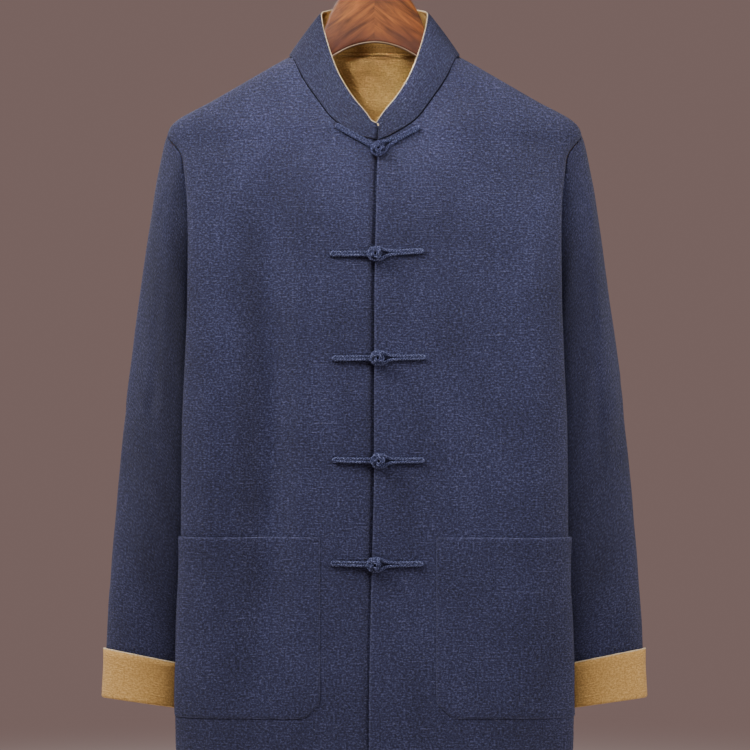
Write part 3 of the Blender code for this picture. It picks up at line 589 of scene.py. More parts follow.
def front_grid(side):
    """Points of one front, rows from hem to shoulder, columns from edge to side."""
    mirror = 1 if side == "left" else -1
    points = []
    threads = []
    for row, level in enumerate(LEVELS):
        edge, under = front_edge(side, row, level)
        start = place_at_x(level, FRONT, edge)
        lap = place_at_x(level, FRONT, edge + max(under, UNDERLAP_AT_NECK))
        lengths = front_columns(side, start, lap, panel_end(level, FRONT))
        line = body_row(level, FRONT, mirror * lengths)
        if side == "right":
            short_of_edge = lap_edge(level) - line[:, 0]
            dropped = (DROP_ENDS[1] - short_of_edge) / (DROP_ENDS[1] - DROP_ENDS[0])
            line[:, 1] += underlap_drop(level) * ease(dropped)
        points.append(line)
        threads.append(np.column_stack([mirror * lengths, np.full(len(lengths), level)]))
    return Grid(np.array(points), np.array(threads))


def back_grid():
    """Points of the back, rows from hem to neck, columns from right side to left."""
    half = graded(2 * BACK_HALF_WIDTH)
    points = []
    threads = []
    for level in LEVELS:
        lengths = panel_end(level, BACK) * (2 * half - 1)
        points.append(body_row(level, BACK, lengths))
        threads.append(np.column_stack([lengths, np.full(len(half), level)]))
    return Grid(np.array(points), np.array(threads))


fronts = {side: front_grid(side) for side in ("left", "right")}
back = back_grid()
for side, grid in fronts.items():
    print(f"front_{side}:", grid.points.shape[:2], "points")
print("back:", back.points.shape[:2], "points")

# %% [markdown]
# ## From a grid to a piece of cloth
#
# A grid of points is only a surface. Its normals give the way out of the cloth, and a
# second grid one thickness further in gives the wall. At its edges the outer grid is
# rolled down a little. The thread coordinates, in metres, are kept as a UV map, so
# that a weave has its true scale and runs with the cut. An "edge" attribute marks the
# free edges, where real cloth rubs pale. A cord uses it for the crests of its plies,
# where the pale colour is a painted highlight.

# %% Normals and walls
EDGE_ROLL = (0.00055, 0.00024, 0.00007)
EDGE_WEAR_REACH = 0.0022


def facets(points):
    """A vector along the normal of each small face of a grid, twice its area long."""
    return np.cross(points[1:, 1:] - points[:-1, :-1], points[1:, :-1] - points[:-1, 1:])


def grid_normals(points, inside):
    """Unit normals of a grid, pointing away from the points inside."""
    facet = facets(points)
    normals = np.zeros_like(points)
    normals[:-1, :-1] += facet
    normals[:-1, 1:] += facet
    normals[1:, :-1] += facet
    normals[1:, 1:] += facet
    normals = unit(normals)
    outward = (normals * (points - inside)).sum()
    return normals if outward > 0 else -normals


def rolled(points, normals):
    """Roll the four edges of a grid down a little."""
    result = points.copy()
    for line, drop in enumerate(EDGE_ROLL):
        for row in (line, -1 - line):
            result[row] -= normals[row] * drop
        for column in (line, -1 - line):
            result[:, column] -= normals[:, column] * drop
    return result


def down_columns(points):
    """Length run down each column of a grid, at each of its points."""
    return np.array([along(points[:, j]) for j in range(points.shape[1])]).T


def edge_wear(points, worn):
    """1 on the free edges of a grid, fading to 0 a few millimetres in."""
    down = down_columns(points)
    across = np.array([along(row) for row in points])
    away = {
        "first": down,
        "last": down[-1] - down,
        "start": across,
        "end": across[:, -1:] - across,
    }
    wear = np.zeros(down.shape)
    for edge in worn:
        wear = np.maximum(wear, 1 - ease(away[edge] / EDGE_WEAR_REACH))
    return wear


def link_piece(name, mesh, material):
    """Put a mesh in the scene, smooth shaded, and make it move with the jacket."""
    mesh.shade_smooth()
    mesh.materials.append(material)
    piece = put_in_scene(name, mesh)
    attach(piece, "root")
    return piece


def wall_faces(rows, columns):
    """Faces of a closed wall between two grids: both sides, and a rim round them."""
    numbers = np.arange(rows * columns).reshape(rows, columns)
    corners = [numbers[:-1, :-1], numbers[:-1, 1:], numbers[1:, 1:], numbers[1:, :-1]]
    top = np.stack(corners, axis=-1).reshape(-1, 4)
    faces = [top, top[:, ::-1] + numbers.size]
    lines = (numbers[0], numbers[-1], numbers[:, 0], numbers[:, -1])
    for line, turned in zip(lines, (True, False, False, True)):
        under = line + numbers.size
        rim = np.stack([line[:-1], line[1:], under[1:], under[:-1]], axis=-1)
        faces.append(rim[:, ::-1] if turned else rim)
    return np.concatenate(faces)


def cloth_wall(name, outer, inner, threads, material, worn=()):
    """Make a closed wall between two grids, with its threads as a UV map."""
    faces = wall_faces(*outer.shape[:2])
    points = np.concatenate([outer.reshape(-1, 3), inner.reshape(-1, 3)])
    mesh = bpy.data.meshes.new(name)
    mesh.from_pydata(points.tolist(), [], faces.tolist())
    flat = np.concatenate([threads.reshape(-1, 2)] * 2)
    corners = np.array([loop.vertex_index for loop in mesh.loops])
    layer = mesh.uv_layers.new(name="cloth")
    layer.data.foreach_set("uv", flat[corners].astype(np.float32).ravel())
    wear = mesh.attributes.new("edge", "FLOAT", "POINT")
    border = edge_wear(outer, worn).ravel()
    wear.data.foreach_set("value", np.concatenate([border, border]).astype(np.float32))
    made = bmesh.new()
    made.from_mesh(mesh)
    bmesh.ops.recalc_face_normals(made, faces=made.faces)
    made.to_mesh(mesh)
    made.free()
    print(f"{name}: {len(mesh.polygons)} faces")
    return link_piece(name, mesh, material)


# %% The flat size of a piece
UPRIGHT = np.array([0.0, 1.0, 1.0])


def cut_size(points, upright=False):
    """Width, length and area of the flat piece that a grid of points was cut as.

    The length of an upright panel leaves out its steps sideways, because a side column
    follows the armhole and the shoulder seam and would count that way twice.
    """
    width = max(along(line)[-1] for line in points)
    length = down_columns(points * UPRIGHT if upright else points)[-1].max()
    area = float(np.linalg.norm(facets(points), axis=-1).sum() / 2)
    width = max(width, area / length)
    print(f"  cut {width:.3f} x {length:.3f} m, {area:.4f} m2")
    return width, length, min(area, width * length)


def declare_sheet(points, upright=False):
    """Print how large a piece of cloth is when flat."""
    width, length, area = cut_size(points, upright)


# %% [markdown]
# ## Linen
#
# The outer cloth is a plain weave of uneven navy yarns. Three things make it read as
# linen: slubs, where a yarn swells and shows paler for some millimetres; the fine
# weave itself, a thread every half millimetre; and a few pale neps. Slubs are noise
# stretched along the threads, so the same noise with its axes swapped gives the warp.
# All of it is drawn in thread coordinates, and its relief goes to the normal.

# %% Small steps of a material
def add_math(tree, operation, first, second=0.0):
    """One step of arithmetic on values or sockets."""
    return add_node(tree, "ShaderNodeMath", {0: first, 1: second}, operation=operation).outputs[0]


def add_sum(tree, parts):
    """Add up values, each times its own share."""
    total = None
    for value, share in parts:
        scaled = add_math(tree, "MULTIPLY", value, share)
        total = scaled if total is None else add_math(tree, "ADD", total, scaled)
    return total


def add_range(tree, value, low, high, to_low=0.0, to_high=1.0):
    """Stretch a value from one range to another, and keep it inside."""
    inputs = {"Value": value, 1: low, 2: high, 3: to_low, 4: to_high}
    return add_node(tree, "ShaderNodeMapRange", inputs, clamp=True).outputs["Result"]


def add_mix(tree, share, first, second):
    """Mix two colours by a share."""
    inputs = {0: share, 6: first, 7: second}
    return add_node(tree, "ShaderNodeMix", inputs, data_type="RGBA").outputs[2]


def add_bump(tree, height, strength, distance):
    """Turn a height into a relief of the surface."""
    inputs = {"Height": height, "Strength": strength, "Distance": distance}
    return add_node(tree, "ShaderNodeBump", inputs).outputs[0]


# %% Cloth material
# Each layer of the cloth is noise with a scale across and along it, in waves a metre,
# and the two values of the noise between which the layer goes from none to full.
THREAD_PITCH = 0.00055
YarnLayer = namedtuple("YarnLayer", "across along detail rough low high")
WEFT_SLUBS = YarnLayer(170.0, 760.0, 3.0, 0.50, 0.42, 0.72)
WARP_SLUBS = YarnLayer(760.0, 150.0, 3.0, 0.50, 0.46, 0.76)
THICK_YARNS = YarnLayer(26.0, 420.0, 1.0, 0.50, 0.64, 0.82)
SPECKLE = YarnLayer(430.0, 520.0, 3.0, 0.65, 0.36, 0.66)
CLOUDING = YarnLayer(16.0, 11.0, 3.0, 0.50, 0.30, 0.70)
NEPS = YarnLayer(260.0, 420.0, 0.0, 0.50, 0.875, 0.905)
WARP_SHARE = 0.75
CLOUD_DEPTH = 0.07
# How much each layer adds to the shade and to the relief.
SPECKLE_SHADE = 0.60
YARN_SHADE = 0.14
WEAVE_SHADE = 0.05
SLUB_RELIEF = 0.8
YARN_RELIEF = 1.6
WEAVE_RELIEF = 0.5
RELIEF_HEIGHT = 0.0008
NEP_SHARE = 0.30
# The least and the most of the pale colour mixed in: wear on a free edge, and a painted highlight
# on a cord's ply crest.
WEAR_AND_HIGHLIGHT = (0.15, 0.55)
SHEEN_ROUGHNESS = 0.5
CLOTH_SPECULAR = 0.25
LinenLook = namedtuple("LinenLook", "dark mid pale nep roughness sheen relief slub_shade")


def add_yarns(tree, place, layer, to_low=0.0, to_high=1.0):
    """One layer of the cloth, drawn in thread coordinates."""
    moved = add_node(tree, "ShaderNodeMapping", {"Vector": place})
    moved.inputs["Scale"].default_value = (layer.across, layer.along, 1.0)
    inputs = {
        "Vector": moved.outputs[0],
        "Scale": 1.0,
        "Detail": layer.detail,
        "Roughness": layer.rough,
    }
    waves = add_node(tree, "ShaderNodeTexNoise", inputs, noise_dimensions="2D").outputs["Fac"]
    return add_range(tree, waves, layer.low, layer.high, to_low, to_high)


def linen_material(name, look):
    """Plain-weave linen in the coordinates of its own threads."""
    material, tree, shader = new_material(name)
    place = add_node(tree, "ShaderNodeUVMap", uv_map="cloth").outputs[0]
    weft_slubs = add_yarns(tree, place, WEFT_SLUBS)
    warp_slubs = add_yarns(tree, place, WARP_SLUBS)
    thick_yarns = add_yarns(tree, place, THICK_YARNS)
    speckle = add_yarns(tree, place, SPECKLE)
    cloud = add_yarns(tree, place, CLOUDING, -CLOUD_DEPTH, CLOUD_DEPTH)
    neps = add_yarns(tree, place, NEPS)

    threads = add_node(tree, "ShaderNodeSeparateXYZ", {"Vector": place})
    turns = 2 * pi / (2 * THREAD_PITCH)
    warp = add_math(tree, "SINE", add_math(tree, "MULTIPLY", threads.outputs[0], turns))
    weft = add_math(tree, "SINE", add_math(tree, "MULTIPLY", threads.outputs[1], turns))
    weave = add_math(tree, "MULTIPLY", warp, weft)
    fainter_warp = add_math(tree, "MULTIPLY", warp_slubs, WARP_SHARE)
    slubs = add_math(tree, "MAXIMUM", weft_slubs, fainter_warp)

    shade = add_sum(tree, [
        (slubs, look.slub_shade),
        (speckle, SPECKLE_SHADE),
        (thick_yarns, YARN_SHADE),
        (weave, WEAVE_SHADE),
        (cloud, 1.0),
    ])
    low = add_mix(tree, add_range(tree, shade, 0.0, 0.5), look.dark, look.mid)
    colour = add_mix(tree, add_range(tree, shade, 0.5, 1.1), low, look.pale)
    colour = add_mix(tree, add_math(tree, "MULTIPLY", neps, NEP_SHARE), colour, look.nep)
    # The pale mix is wear on a cloth's free edges, and a painted highlight on the crests of a
    # cord's plies.
    edge = add_node(tree, "ShaderNodeAttribute", attribute_name="edge").outputs["Fac"]
    wear_and_highlight = add_math(tree, "MULTIPLY", edge, add_range(tree, speckle, 0.2, 0.8, *WEAR_AND_HIGHLIGHT))
    colour = add_mix(tree, wear_and_highlight, colour, look.pale)
    tree.links.new(colour, shader.inputs["Base Color"])

    relief = add_sum(tree, [
        (slubs, SLUB_RELIEF),
        (speckle, 1.0),
        (thick_yarns, YARN_RELIEF),
        (weave, WEAVE_RELIEF),
    ])
    bump = add_bump(tree, relief, look.relief, RELIEF_HEIGHT)
    tree.links.new(bump, shader.inputs["Normal"])
    set_inputs(shader, {
        "Roughness": look.roughness,
        "Sheen Weight": look.sheen,
        "Sheen Roughness": SHEEN_ROUGHNESS,
        "Specular IOR Level": CLOTH_SPECULAR,
    })
    return material


# %% The jacket's two cloths
navy_cloth = linen_material(
    "navy_linen",
    LinenLook(
        dark=(0.0092, 0.0100, 0.033, 1.0),
        mid=(0.0330, 0.0360, 0.107, 1.0),
        pale=(0.144, 0.157, 0.328, 1.0),
        nep=(0.24, 0.25, 0.30, 1.0),
        roughness=0.88,
        sheen=0.10,
        relief=1.00,
        slub_shade=0.35,
    ),
)
mustard_cloth = linen_material(
    "mustard_linen",
    LinenLook(
        dark=(0.45, 0.240, 0.063, 1.0),
        mid=(0.62, 0.362, 0.110, 1.0),
        pale=(0.77, 0.492, 0.177, 1.0),
        nep=(0.70, 0.52, 0.27, 1.0),
        roughness=0.90,
        sheen=0.10,
        relief=0.50,
        slub_shade=0.42,
    ),
)
print("cloths:", navy_cloth.name, mustard_cloth.name)

# %% [markdown]
# ## Fronts and back
#
# The jacket is two cloths thick: navy outside, mustard inside. Each panel is made as
# two thin walls, one in each cloth. The mustard wall stops short of the hem and of
# each front's own edge, where the navy cloth is turned in over it.

# %% The body's pieces
NAVY_THICKNESS = 0.0010
LINING_THICKNESS = 0.0007
LINING_GAP = 0.0001
LINING_STEP = 2
BODY_AXIS = np.array([0.8, 0.0, 1.0])

panels = {"front_left": fronts["left"], "front_right": fronts["right"], "back": back}
shells = {}
for name, grid in panels.items():
    normals = grid_normals(grid.points, grid.points * BODY_AXIS)
    outer = rolled(grid.points, normals)
    inner = grid.points - normals * NAVY_THICKNESS
    worn = ("first",) if name == "back" else ("first", "start")
    piece = cloth_wall(name + "_cloth", outer, inner, grid.threads, navy_cloth, worn)
    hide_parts(name)
    declare_sheet(grid.points, upright=True)
    shells[name] = (outer, normals)


# %% The body's lining
TURNED_IN = 2


def lining_of(name, grid, normals, rows, columns, gap=LINING_GAP):
    """The mustard wall inside a panel, over a part of its rows and columns."""
    picked = (slice(*rows, LINING_STEP), slice(*columns, LINING_STEP))
    outward = normals[picked]
    outer = grid.points[picked] - outward * (NAVY_THICKNESS + gap)
    inner = outer - outward * LINING_THICKNESS
    piece = cloth_wall(name + "_inner_cloth", outer, inner, grid.threads[picked], mustard_cloth)
    declare_sheet(outer, upright=name in panels)
    return piece


for name, grid in panels.items():
    rows, columns = grid.points.shape[:2]
    start = 0 if name == "back" else TURNED_IN
    piece = lining_of(name, grid, shells[name][1], (TURNED_IN, rows), (start, columns))
    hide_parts("back_lining" if name == "back" else name)

# %% [markdown]
# ## Sleeves
#
# A one-piece sleeve is a tube with a seam under the arm. Each ring of it runs between
# an inner line, next to the body, and an outer line. At its head it is egg-shaped in
# section, and lower down it hangs flat, with blunt sides. The first ring is the armhole
# itself, and the rings turn from the one shape to the other in the first part of the
# sleeve. The tube is left cut open along the underarm line, so that its two edges roll
# in and meet there as a seam.

# %% Sizes of the sleeves
Sleeve = namedtuple("Sleeve", "share outer_x outer_z inner_x inner_z depth skew blunt tilt")
SLEEVE = [
    Sleeve(0.00, 0.2265, -0.2255, 0.1595, -0.4550, 0.046, 0.55, 0.50, 0.00),
    Sleeve(0.03, 0.2293, -0.2330, 0.1648, -0.4630, 0.046, 0.55, 0.50, 0.00),
    Sleeve(0.10, 0.2370, -0.2720, 0.1680, -0.4900, 0.048, 0.46, 0.40, 0.00),
    Sleeve(0.20, 0.2450, -0.3280, 0.1705, -0.5280, 0.051, 0.26, 0.30, 0.00),
    Sleeve(0.35, 0.2550, -0.4170, 0.1760, -0.5850, 0.054, 0.12, 0.22, 0.00),
    Sleeve(0.50, 0.2665, -0.5040, 0.1820, -0.6430, 0.054, 0.06, 0.20, 0.03),
    Sleeve(0.70, 0.2800, -0.6330, 0.1905, -0.7200, 0.050, 0.04, 0.20, 0.08),
    Sleeve(0.90, 0.2905, -0.7570, 0.1980, -0.7840, 0.045, 0.03, 0.22, 0.125),
    Sleeve(0.94, 0.2920, -0.7845, 0.2000, -0.8040, 0.044, 0.03, 0.24, 0.13),
    Sleeve(1.00, 0.2948, -0.8380, 0.2040, -0.8510, 0.043, 0.03, 0.26, 0.13),
]
BLEND_SHARE = 0.16
CUFF_START = 0.94
SLEEVE_LENGTH = 0.610
SLEEVE_SHARES = graded(SLEEVE_LENGTH)
SLEEVE_LINING_GAP = 0.0007

# Here a place across is the girth from the outer line, above 0 to the front, and a
# place down is the length from the shoulder, below 0.
SLEEVE_FOLDS = [
    Fold("sleeve_right", 0.034, -0.040, 0.030, -0.540, 0.024, -0.0020),
    Fold("sleeve_right", 0.086, -0.100, 0.080, -0.300, 0.018, 0.0012),
    Fold("sleeve_right", 0.012, -0.160, 0.020, -0.330, 0.014, 0.0012),
    Fold("sleeve_right", 0.098, -0.236, 0.048, -0.290, 0.011, 0.0017),
    Fold("sleeve_right", 0.106, -0.282, 0.058, -0.316, 0.010, 0.0014),
    Fold("sleeve_right", 0.020, -0.300, 0.060, -0.372, 0.012, 0.0013),
    Fold("sleeve_right", 0.060, -0.440, 0.020, -0.500, 0.012, 0.0010),
    Fold("sleeve_right", -0.060, -0.060, -0.066, -0.460, 0.030, 0.0040),
    Fold("sleeve_right", -0.030, -0.250, -0.088, -0.300, 0.012, 0.0017),
    Fold("sleeve_right", -0.100, -0.290, -0.050, -0.330, 0.011, 0.0014),
    Fold("sleeve_right", 0.026, -0.020, 0.036, -0.076, 0.008, 0.0010),
    Fold("sleeve_right", 0.052, -0.030, 0.058, -0.092, 0.009, 0.0010),
    Fold("sleeve_left", 0.030, -0.040, 0.028, -0.520, 0.024, -0.0021),
    Fold("sleeve_left", 0.084, -0.080, 0.078, -0.320, 0.018, 0.0012),
    Fold("sleeve_left", 0.010, -0.220, 0.022, -0.380, 0.014, 0.0012),
    Fold("sleeve_left", 0.100, -0.250, 0.052, -0.282, 0.011, 0.0015),
    Fold("sleeve_left", 0.094, -0.300, 0.046, -0.352, 0.011, 0.0016),
    Fold("sleeve_left", 0.020, -0.270, 0.054, -0.330, 0.012, 0.0011),
    Fold("sleeve_left", 0.064, -0.470, 0.026, -0.520, 0.012, 0.0009),
    Fold("sleeve_left", -0.062, -0.080, -0.060, -0.430, 0.030, 0.0042),
    Fold("sleeve_left", -0.036, -0.270, -0.090, -0.312, 0.012, 0.0016),
    Fold("sleeve_left", -0.096, -0.310, -0.046, -0.356, 0.011, 0.0014),
    Fold("sleeve_left", 0.028, -0.022, 0.034, -0.084, 0.008, 0.0010),
    Fold("sleeve_left", 0.050, -0.028, 0.060, -0.088, 0.009, 0.0011),
]
CREASES += SLEEVE_FOLDS
# Folds grow from nothing over this length below the armhole seam.
SEAM_REACH = 0.020
SLEEVE_SEED = 3.0
print("folds of the sleeves:", len(SLEEVE_FOLDS))

# %% Rings of a sleeve
armhole_places = (LEVELS[UNDERARM_ROW : SHOULDER_ROW + 1] - UNDERARM) / (SHOULDER - UNDERARM)


def ring_depth(share, skew, blunt):
    """How deep a ring is at a share of its way out, as a part of its largest depth."""
    ruler = np.linspace(0, 1, 50)
    widest = ((4 * ruler * (1 - ruler)) ** blunt * ruler**skew).max()
    return (4 * share * (1 - share)).clip(0.0) ** blunt * share**skew / widest


def sleeve_ring(share, front_edge, back_edge):
    """One ring: from the inner line up the back, over the outer line, down the front."""
    row = read_row(SLEEVE, "share", share)
    blend = ease(share / BLEND_SHARE)
    halves = []
    for face, edge in ((BACK, back_edge), (FRONT, front_edge)):
        deep = face * row.depth * ring_depth(armhole_places, row.skew, row.blunt)
        x = row.inner_x + (row.outer_x - row.inner_x) * armhole_places
        z = row.inner_z + (row.outer_z - row.inner_z) * armhole_places
        shaped = np.column_stack([x, deep * blend, z - row.tilt * deep])
        first = edge - edge[0] - np.outer(armhole_places, edge[-1] - edge[0])
        halves.append(shaped + first * (1 - blend))
    return np.concatenate([halves[0], halves[1][-2::-1]])


def sleeve_grid(side):
    """Points and threads of a sleeve, one row for each ring from armhole to cuff."""
    rows = slice(UNDERARM_ROW, SHOULDER_ROW + 1)
    seam_column = -1 if side == "left" else 0
    mirror = np.array([1.0 if side == "left" else -1.0, 1.0, 1.0])
    front_seam = fronts[side].points[rows, -1] * mirror
    back_seam = back.points[rows, seam_column] * mirror
    points = np.array([sleeve_ring(share, front_seam, back_seam) for share in SLEEVE_SHARES])
    points[0] = np.concatenate([back_seam, front_seam[-2::-1]])
    outer_line = len(armhole_places) - 1
    girth = np.array([along(ring) for ring in points])
    girth -= girth[:, outer_line : outer_line + 1]
    down = -along(points[:, outer_line])
    threads = np.stack([girth, np.repeat(down[:, None], girth.shape[1], axis=1)], axis=-1)
    return Grid(points * mirror, threads), mirror[0]


def ring_centres(points):
    """The middle of each ring of a sleeve."""
    return points.mean(axis=1, keepdims=True)


def folded_sleeve(side):
    """A sleeve with its folds pressed in, and its normals."""
    grid, mirror = sleeve_grid(side)
    normals = grid_normals(grid.points, ring_centres(grid.points))
    depth = np.zeros(grid.points.shape[:2])
    for ring in range(len(depth)):
        girth = grid.threads[ring, :, 0]
        down = grid.threads[ring, 0, 1]
        past_seam = min(-down / SEAM_REACH, 1.0)
        depth[ring] = pressed_in(girth, down, f"sleeve_{side}") * past_seam
        depth[ring] += rumple(girth, down, SLEEVE_SEED + mirror) * past_seam
    points = grid.points - normals * depth[..., None]
    return Grid(points, grid.threads), grid_normals(points, ring_centres(points))


sleeves = {side: folded_sleeve(side) for side in ("left", "right")}
print("rings of a sleeve:", len(SLEEVE_SHARES))

# %% The sleeves' pieces
for side, (grid, normals) in sleeves.items():
    name = f"sleeve_{side}"
    outer = rolled(grid.points, normals)
    inner = grid.points - normals * NAVY_THICKNESS
    piece = cloth_wall(name + "_cloth", outer, inner, grid.threads, navy_cloth)
    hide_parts(name)
    declare_sheet(grid.points)
    rows, columns = grid.points.shape[:2]
    lining = lining_of(name, grid, normals, (0, rows), (0, columns), SLEEVE_LINING_GAP)
    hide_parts(name)

# %% [markdown]
# ## Turned-back cuffs
#
# The sleeve's end is folded back over itself, so the mustard side shows. A band laid
# on the sleeve would look like a stripe. So the cuff is drawn by its profile: down
# outside the sleeve, round the fold, and up inside it. Its top stands off a little,
# and a pale line along its top edge is a painted highlight.

# %% Cuffs
CUFF_OUT = 0.0017
CUFF_IN = 0.0026
CUFF_THICKNESS = 0.0013
CUFF_STAND_OFF = 0.0009
# The cuff lies close again past this share of the sleeve below its top edge.
CUFF_SETTLES = 0.03
CUFF_INSIDE_SHARE = 0.955
FOLD_STEPS = 7


def cuff_profile(ring_points, ring_normals, shares):
    """Mid-line points of the cuff at one column, from its top edge to its inside edge."""
    outside = []
    inside = []
    for point, normal, share in zip(ring_points, ring_normals, shares):
        off = CUFF_OUT + CUFF_STAND_OFF * (1 - ease((share - CUFF_START) / CUFF_SETTLES))
        outside.append(point + normal * off)
        if share > CUFF_INSIDE_SHARE:
            inside.append(point - normal * CUFF_IN)
    end = ring_points[-1]
    normal = ring_normals[-1]
    down = unit(ring_points[-1] - ring_points[-4])
    radius = (CUFF_OUT + CUFF_IN) / 2
    centre = end + normal * (CUFF_OUT - CUFF_IN) / 2
    turns = np.linspace(0, pi, FOLD_STEPS + 2)[1:-1]
    fold = [centre + radius * (cos(t) * normal + sin(t) * down) for t in turns]
    return np.array(outside + fold + inside[::-1])


cuffs = {}
first = int(np.searchsorted(SLEEVE_SHARES, CUFF_START))
cuff_shares = SLEEVE_SHARES[first:]
for side, (grid, normals) in sleeves.items():
    lines = [cuff_profile(grid.points[first:, j], normals[first:, j], cuff_shares)
             for j in range(grid.points.shape[1])]
    middle = np.stack(lines, axis=1)
    outside = middle[: len(cuff_shares)]
    facing = grid_normals(outside, ring_centres(outside))
    past_fold = np.repeat(facing[-1:], len(middle) - len(outside), axis=0)
    normal = grid_normals(middle, middle - np.concatenate([facing, past_fold]))
    if (normal[0] * facing[0]).sum() < 0:
        normal = -normal
    girth = grid.threads[first : first + 1, :, 0].repeat(len(middle), axis=0)
    threads = np.stack([girth, -down_columns(middle)], axis=-1)
    outer = middle + normal * CUFF_THICKNESS / 2
    inner = middle - normal * CUFF_THICKNESS / 2
    piece = cloth_wall(f"cuff_{side}_cloth", outer, inner, threads, mustard_cloth)
    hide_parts(f"cuff_{side}")
    declare_sheet(middle)
    cuffs[side] = (outer, normal)

# %% [markdown]
# ## Stand collar
#
# A stand collar is a stiffened band, about 50 mm high, sewn round the neckline. Its
# ends meet at the centre front. Its bottom edge follows the necklines of the fronts
# and the back, and its top edge has a table of its own, read by the share of the way
# from the front end to the back. The band swells out slightly between the two. Its
# cloth is pressed over the stiffening, and it has a darker material of its own: painted
# shade, because the collar turns away from the light.

# %% Sizes of the collar
CollarTop = namedtuple("CollarTop", "share x y z")
COLLAR_TOP = [
    CollarTop(0.00, 0.0000, -0.0470, -0.2194),
    CollarTop(0.08, 0.0104, -0.0445, -0.2042),
    CollarTop(0.17, 0.0236, -0.0390, -0.1877),
    CollarTop(0.29, 0.0397, -0.0280, -0.1600),
    CollarTop(0.40, 0.0501, -0.0150, -0.1312),
    CollarTop(0.49, 0.0572, -0.0030, -0.1040),
    CollarTop(0.56, 0.0590, 0.0070, -0.0915),
    CollarTop(0.66, 0.0530, 0.0200, -0.0865),
    CollarTop(0.80, 0.0330, 0.0290, -0.0835),
    CollarTop(1.00, 0.0000, 0.0335, -0.0820),
]
COLLAR_HEIGHT = 0.050
COLLAR_BULGE = 0.0012
COLLAR_PROUD = 0.0006
COLLAR_SEAM_RISE = 0.0013
# How far the collar's lowest lines are drawn up, which leaves a ditch at the neck seam.
SEAM_DITCH = (0.0011, 0.0006, 0.0002)
COLLAR_GRID = 0.0035
# The neckline is smoothed round the back, from this far off the centre line.
SMOOTHED_FROM = 0.070
SMOOTHING_ROUNDS = 6
SMOOTHING_SHARE = 0.25
# Points inside the collar are its own, drawn in like this and moved a little forward.
COLLAR_DRAWN_IN = np.array([0.7, 0.0, 1.0])
COLLAR_MOVED = np.array([0.0, -0.004, 0.0])


def resampled(line, step):
    """The same line with its points evenly spaced."""
    run = along(line)
    count = int(round(run[-1] / step)) + 1
    return points_at(np.linspace(0, run[-1], count), run, line)


def neck_seam_line():
    """The neck seam, from the right front's end round the back to the left one's."""
    right = fronts["right"].points[SHOULDER_ROW:, 0]
    left = fronts["left"].points[SHOULDER_ROW:, 0]
    line = np.concatenate([right, back.points[-1], left[::-1]])
    line = resampled(line, COLLAR_GRID)
    free = (np.abs(line[1:-1, 0]) > SMOOTHED_FROM)[:, None]
    for _ in range(SMOOTHING_ROUNDS):
        line[1:-1] += free * SMOOTHING_SHARE * (line[2:] + line[:-2] - 2 * line[1:-1])
    return line


def collar_grid():
    """Points and threads of the collar, bottom row first."""
    bottom = neck_seam_line()
    run = along(bottom)
    top = []
    for place, point in zip(run / run[-1], bottom):
        row = read_row(COLLAR_TOP, "share", 1 - abs(2 * place - 1))
        top.append((np.sign(point[0]) * row.x, row.y, row.z))
    top = np.array(top)
    top[0, 0] = bottom[0, 0]
    top[-1, 0] = bottom[-1, 0]
    height = np.linalg.norm(top - bottom, axis=1)[:, None]
    outward = unit((top + bottom) * [1.0, 1.0, 0.0])
    rows = []
    for share in graded(COLLAR_HEIGHT, COLLAR_GRID):
        bulge = 4 * share * (1 - share) * COLLAR_BULGE * height / COLLAR_HEIGHT
        rows.append(bottom + (top - bottom) * share + outward * bulge)
    points = np.array(rows)
    threads = np.stack([np.tile(run, (len(rows), 1)), down_columns(points)], axis=-1)
    return Grid(points, threads)


collar = collar_grid()
collar_normals = grid_normals(collar.points, collar.points * COLLAR_DRAWN_IN + COLLAR_MOVED)
height_share = np.linspace(0, 1, len(collar.points))[:, None, None]
rise = COLLAR_PROUD + COLLAR_SEAM_RISE * (1 - height_share) ** 4
collar_outer = rolled(collar.points + collar_normals * rise, collar_normals)
for line, lift in enumerate(SEAM_DITCH):
    collar_outer[line] += unit(collar.points[line + 1] - collar.points[line]) * lift
collar_inner = collar_outer - collar_normals * (NAVY_THICKNESS + COLLAR_PROUD)
print("collar:", collar.points.shape[:2], "points")

# %% The collar's two cloths
# A darker navy for the collar: painted shade.
shaded_collar = linen_material(
    "shaded_collar_linen",
    LinenLook(
        dark=(0.0070, 0.0076, 0.026, 1.0),
        mid=(0.0258, 0.0282, 0.080, 1.0),
        pale=(0.112, 0.123, 0.242, 1.0),
        nep=(0.22, 0.23, 0.28, 1.0),
        roughness=0.88,
        sheen=0.06,
        relief=1.00,
        slub_shade=0.36,
    ),
)
piece = cloth_wall("collar_cloth", collar_outer, collar_inner, collar.threads, shaded_collar)
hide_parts("collar")
declare_sheet(collar.points)

turned_in = (slice(1, None), slice(1, -1))
facing_normals = collar_normals[turned_in]
facing_outer = collar_inner[turned_in] - facing_normals * LINING_GAP
facing_inner = facing_outer - facing_normals * LINING_THICKNESS
facing_threads = collar.threads[turned_in]
piece = cloth_wall("collar_facing", facing_outer, facing_inner, facing_threads, mustard_cloth)
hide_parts("collar_lining")
declare_sheet(facing_outer)

# %% [markdown]
# ## Seam allowances
#
# Where two pieces are sewn together, their edges are turned in, and those allowances
# fill the join. Two shells that only touch would show a line of light or of the lining
# there. So a thin near-black tube lies behind the neck seam and each side seam: painted
# shade in the join. Inside the back of the neck, the collar's facing is felled down over
# the seam in a small roll.

# %% A tube along a line
TubeTwist = namedtuple("TubeTwist", "plies pitch height")
STRAIGHT = TubeTwist(0, 1.0, 0.0)
# A direction that no cord starts along, to measure its roundness from.
SIDEWAYS = np.array([0.31, 0.93, 0.17])
# How far the point of a closed end stands out, as a part of the radius.
TIP_SHARE = 0.6


def finished_mesh(made, name):
    """Turn the faces of a piece outwards and make its mesh."""
    bmesh.ops.recalc_face_normals(made, faces=made.faces)
    mesh = bpy.data.meshes.new(name)
    made.to_mesh(mesh)
    made.free()
    return mesh


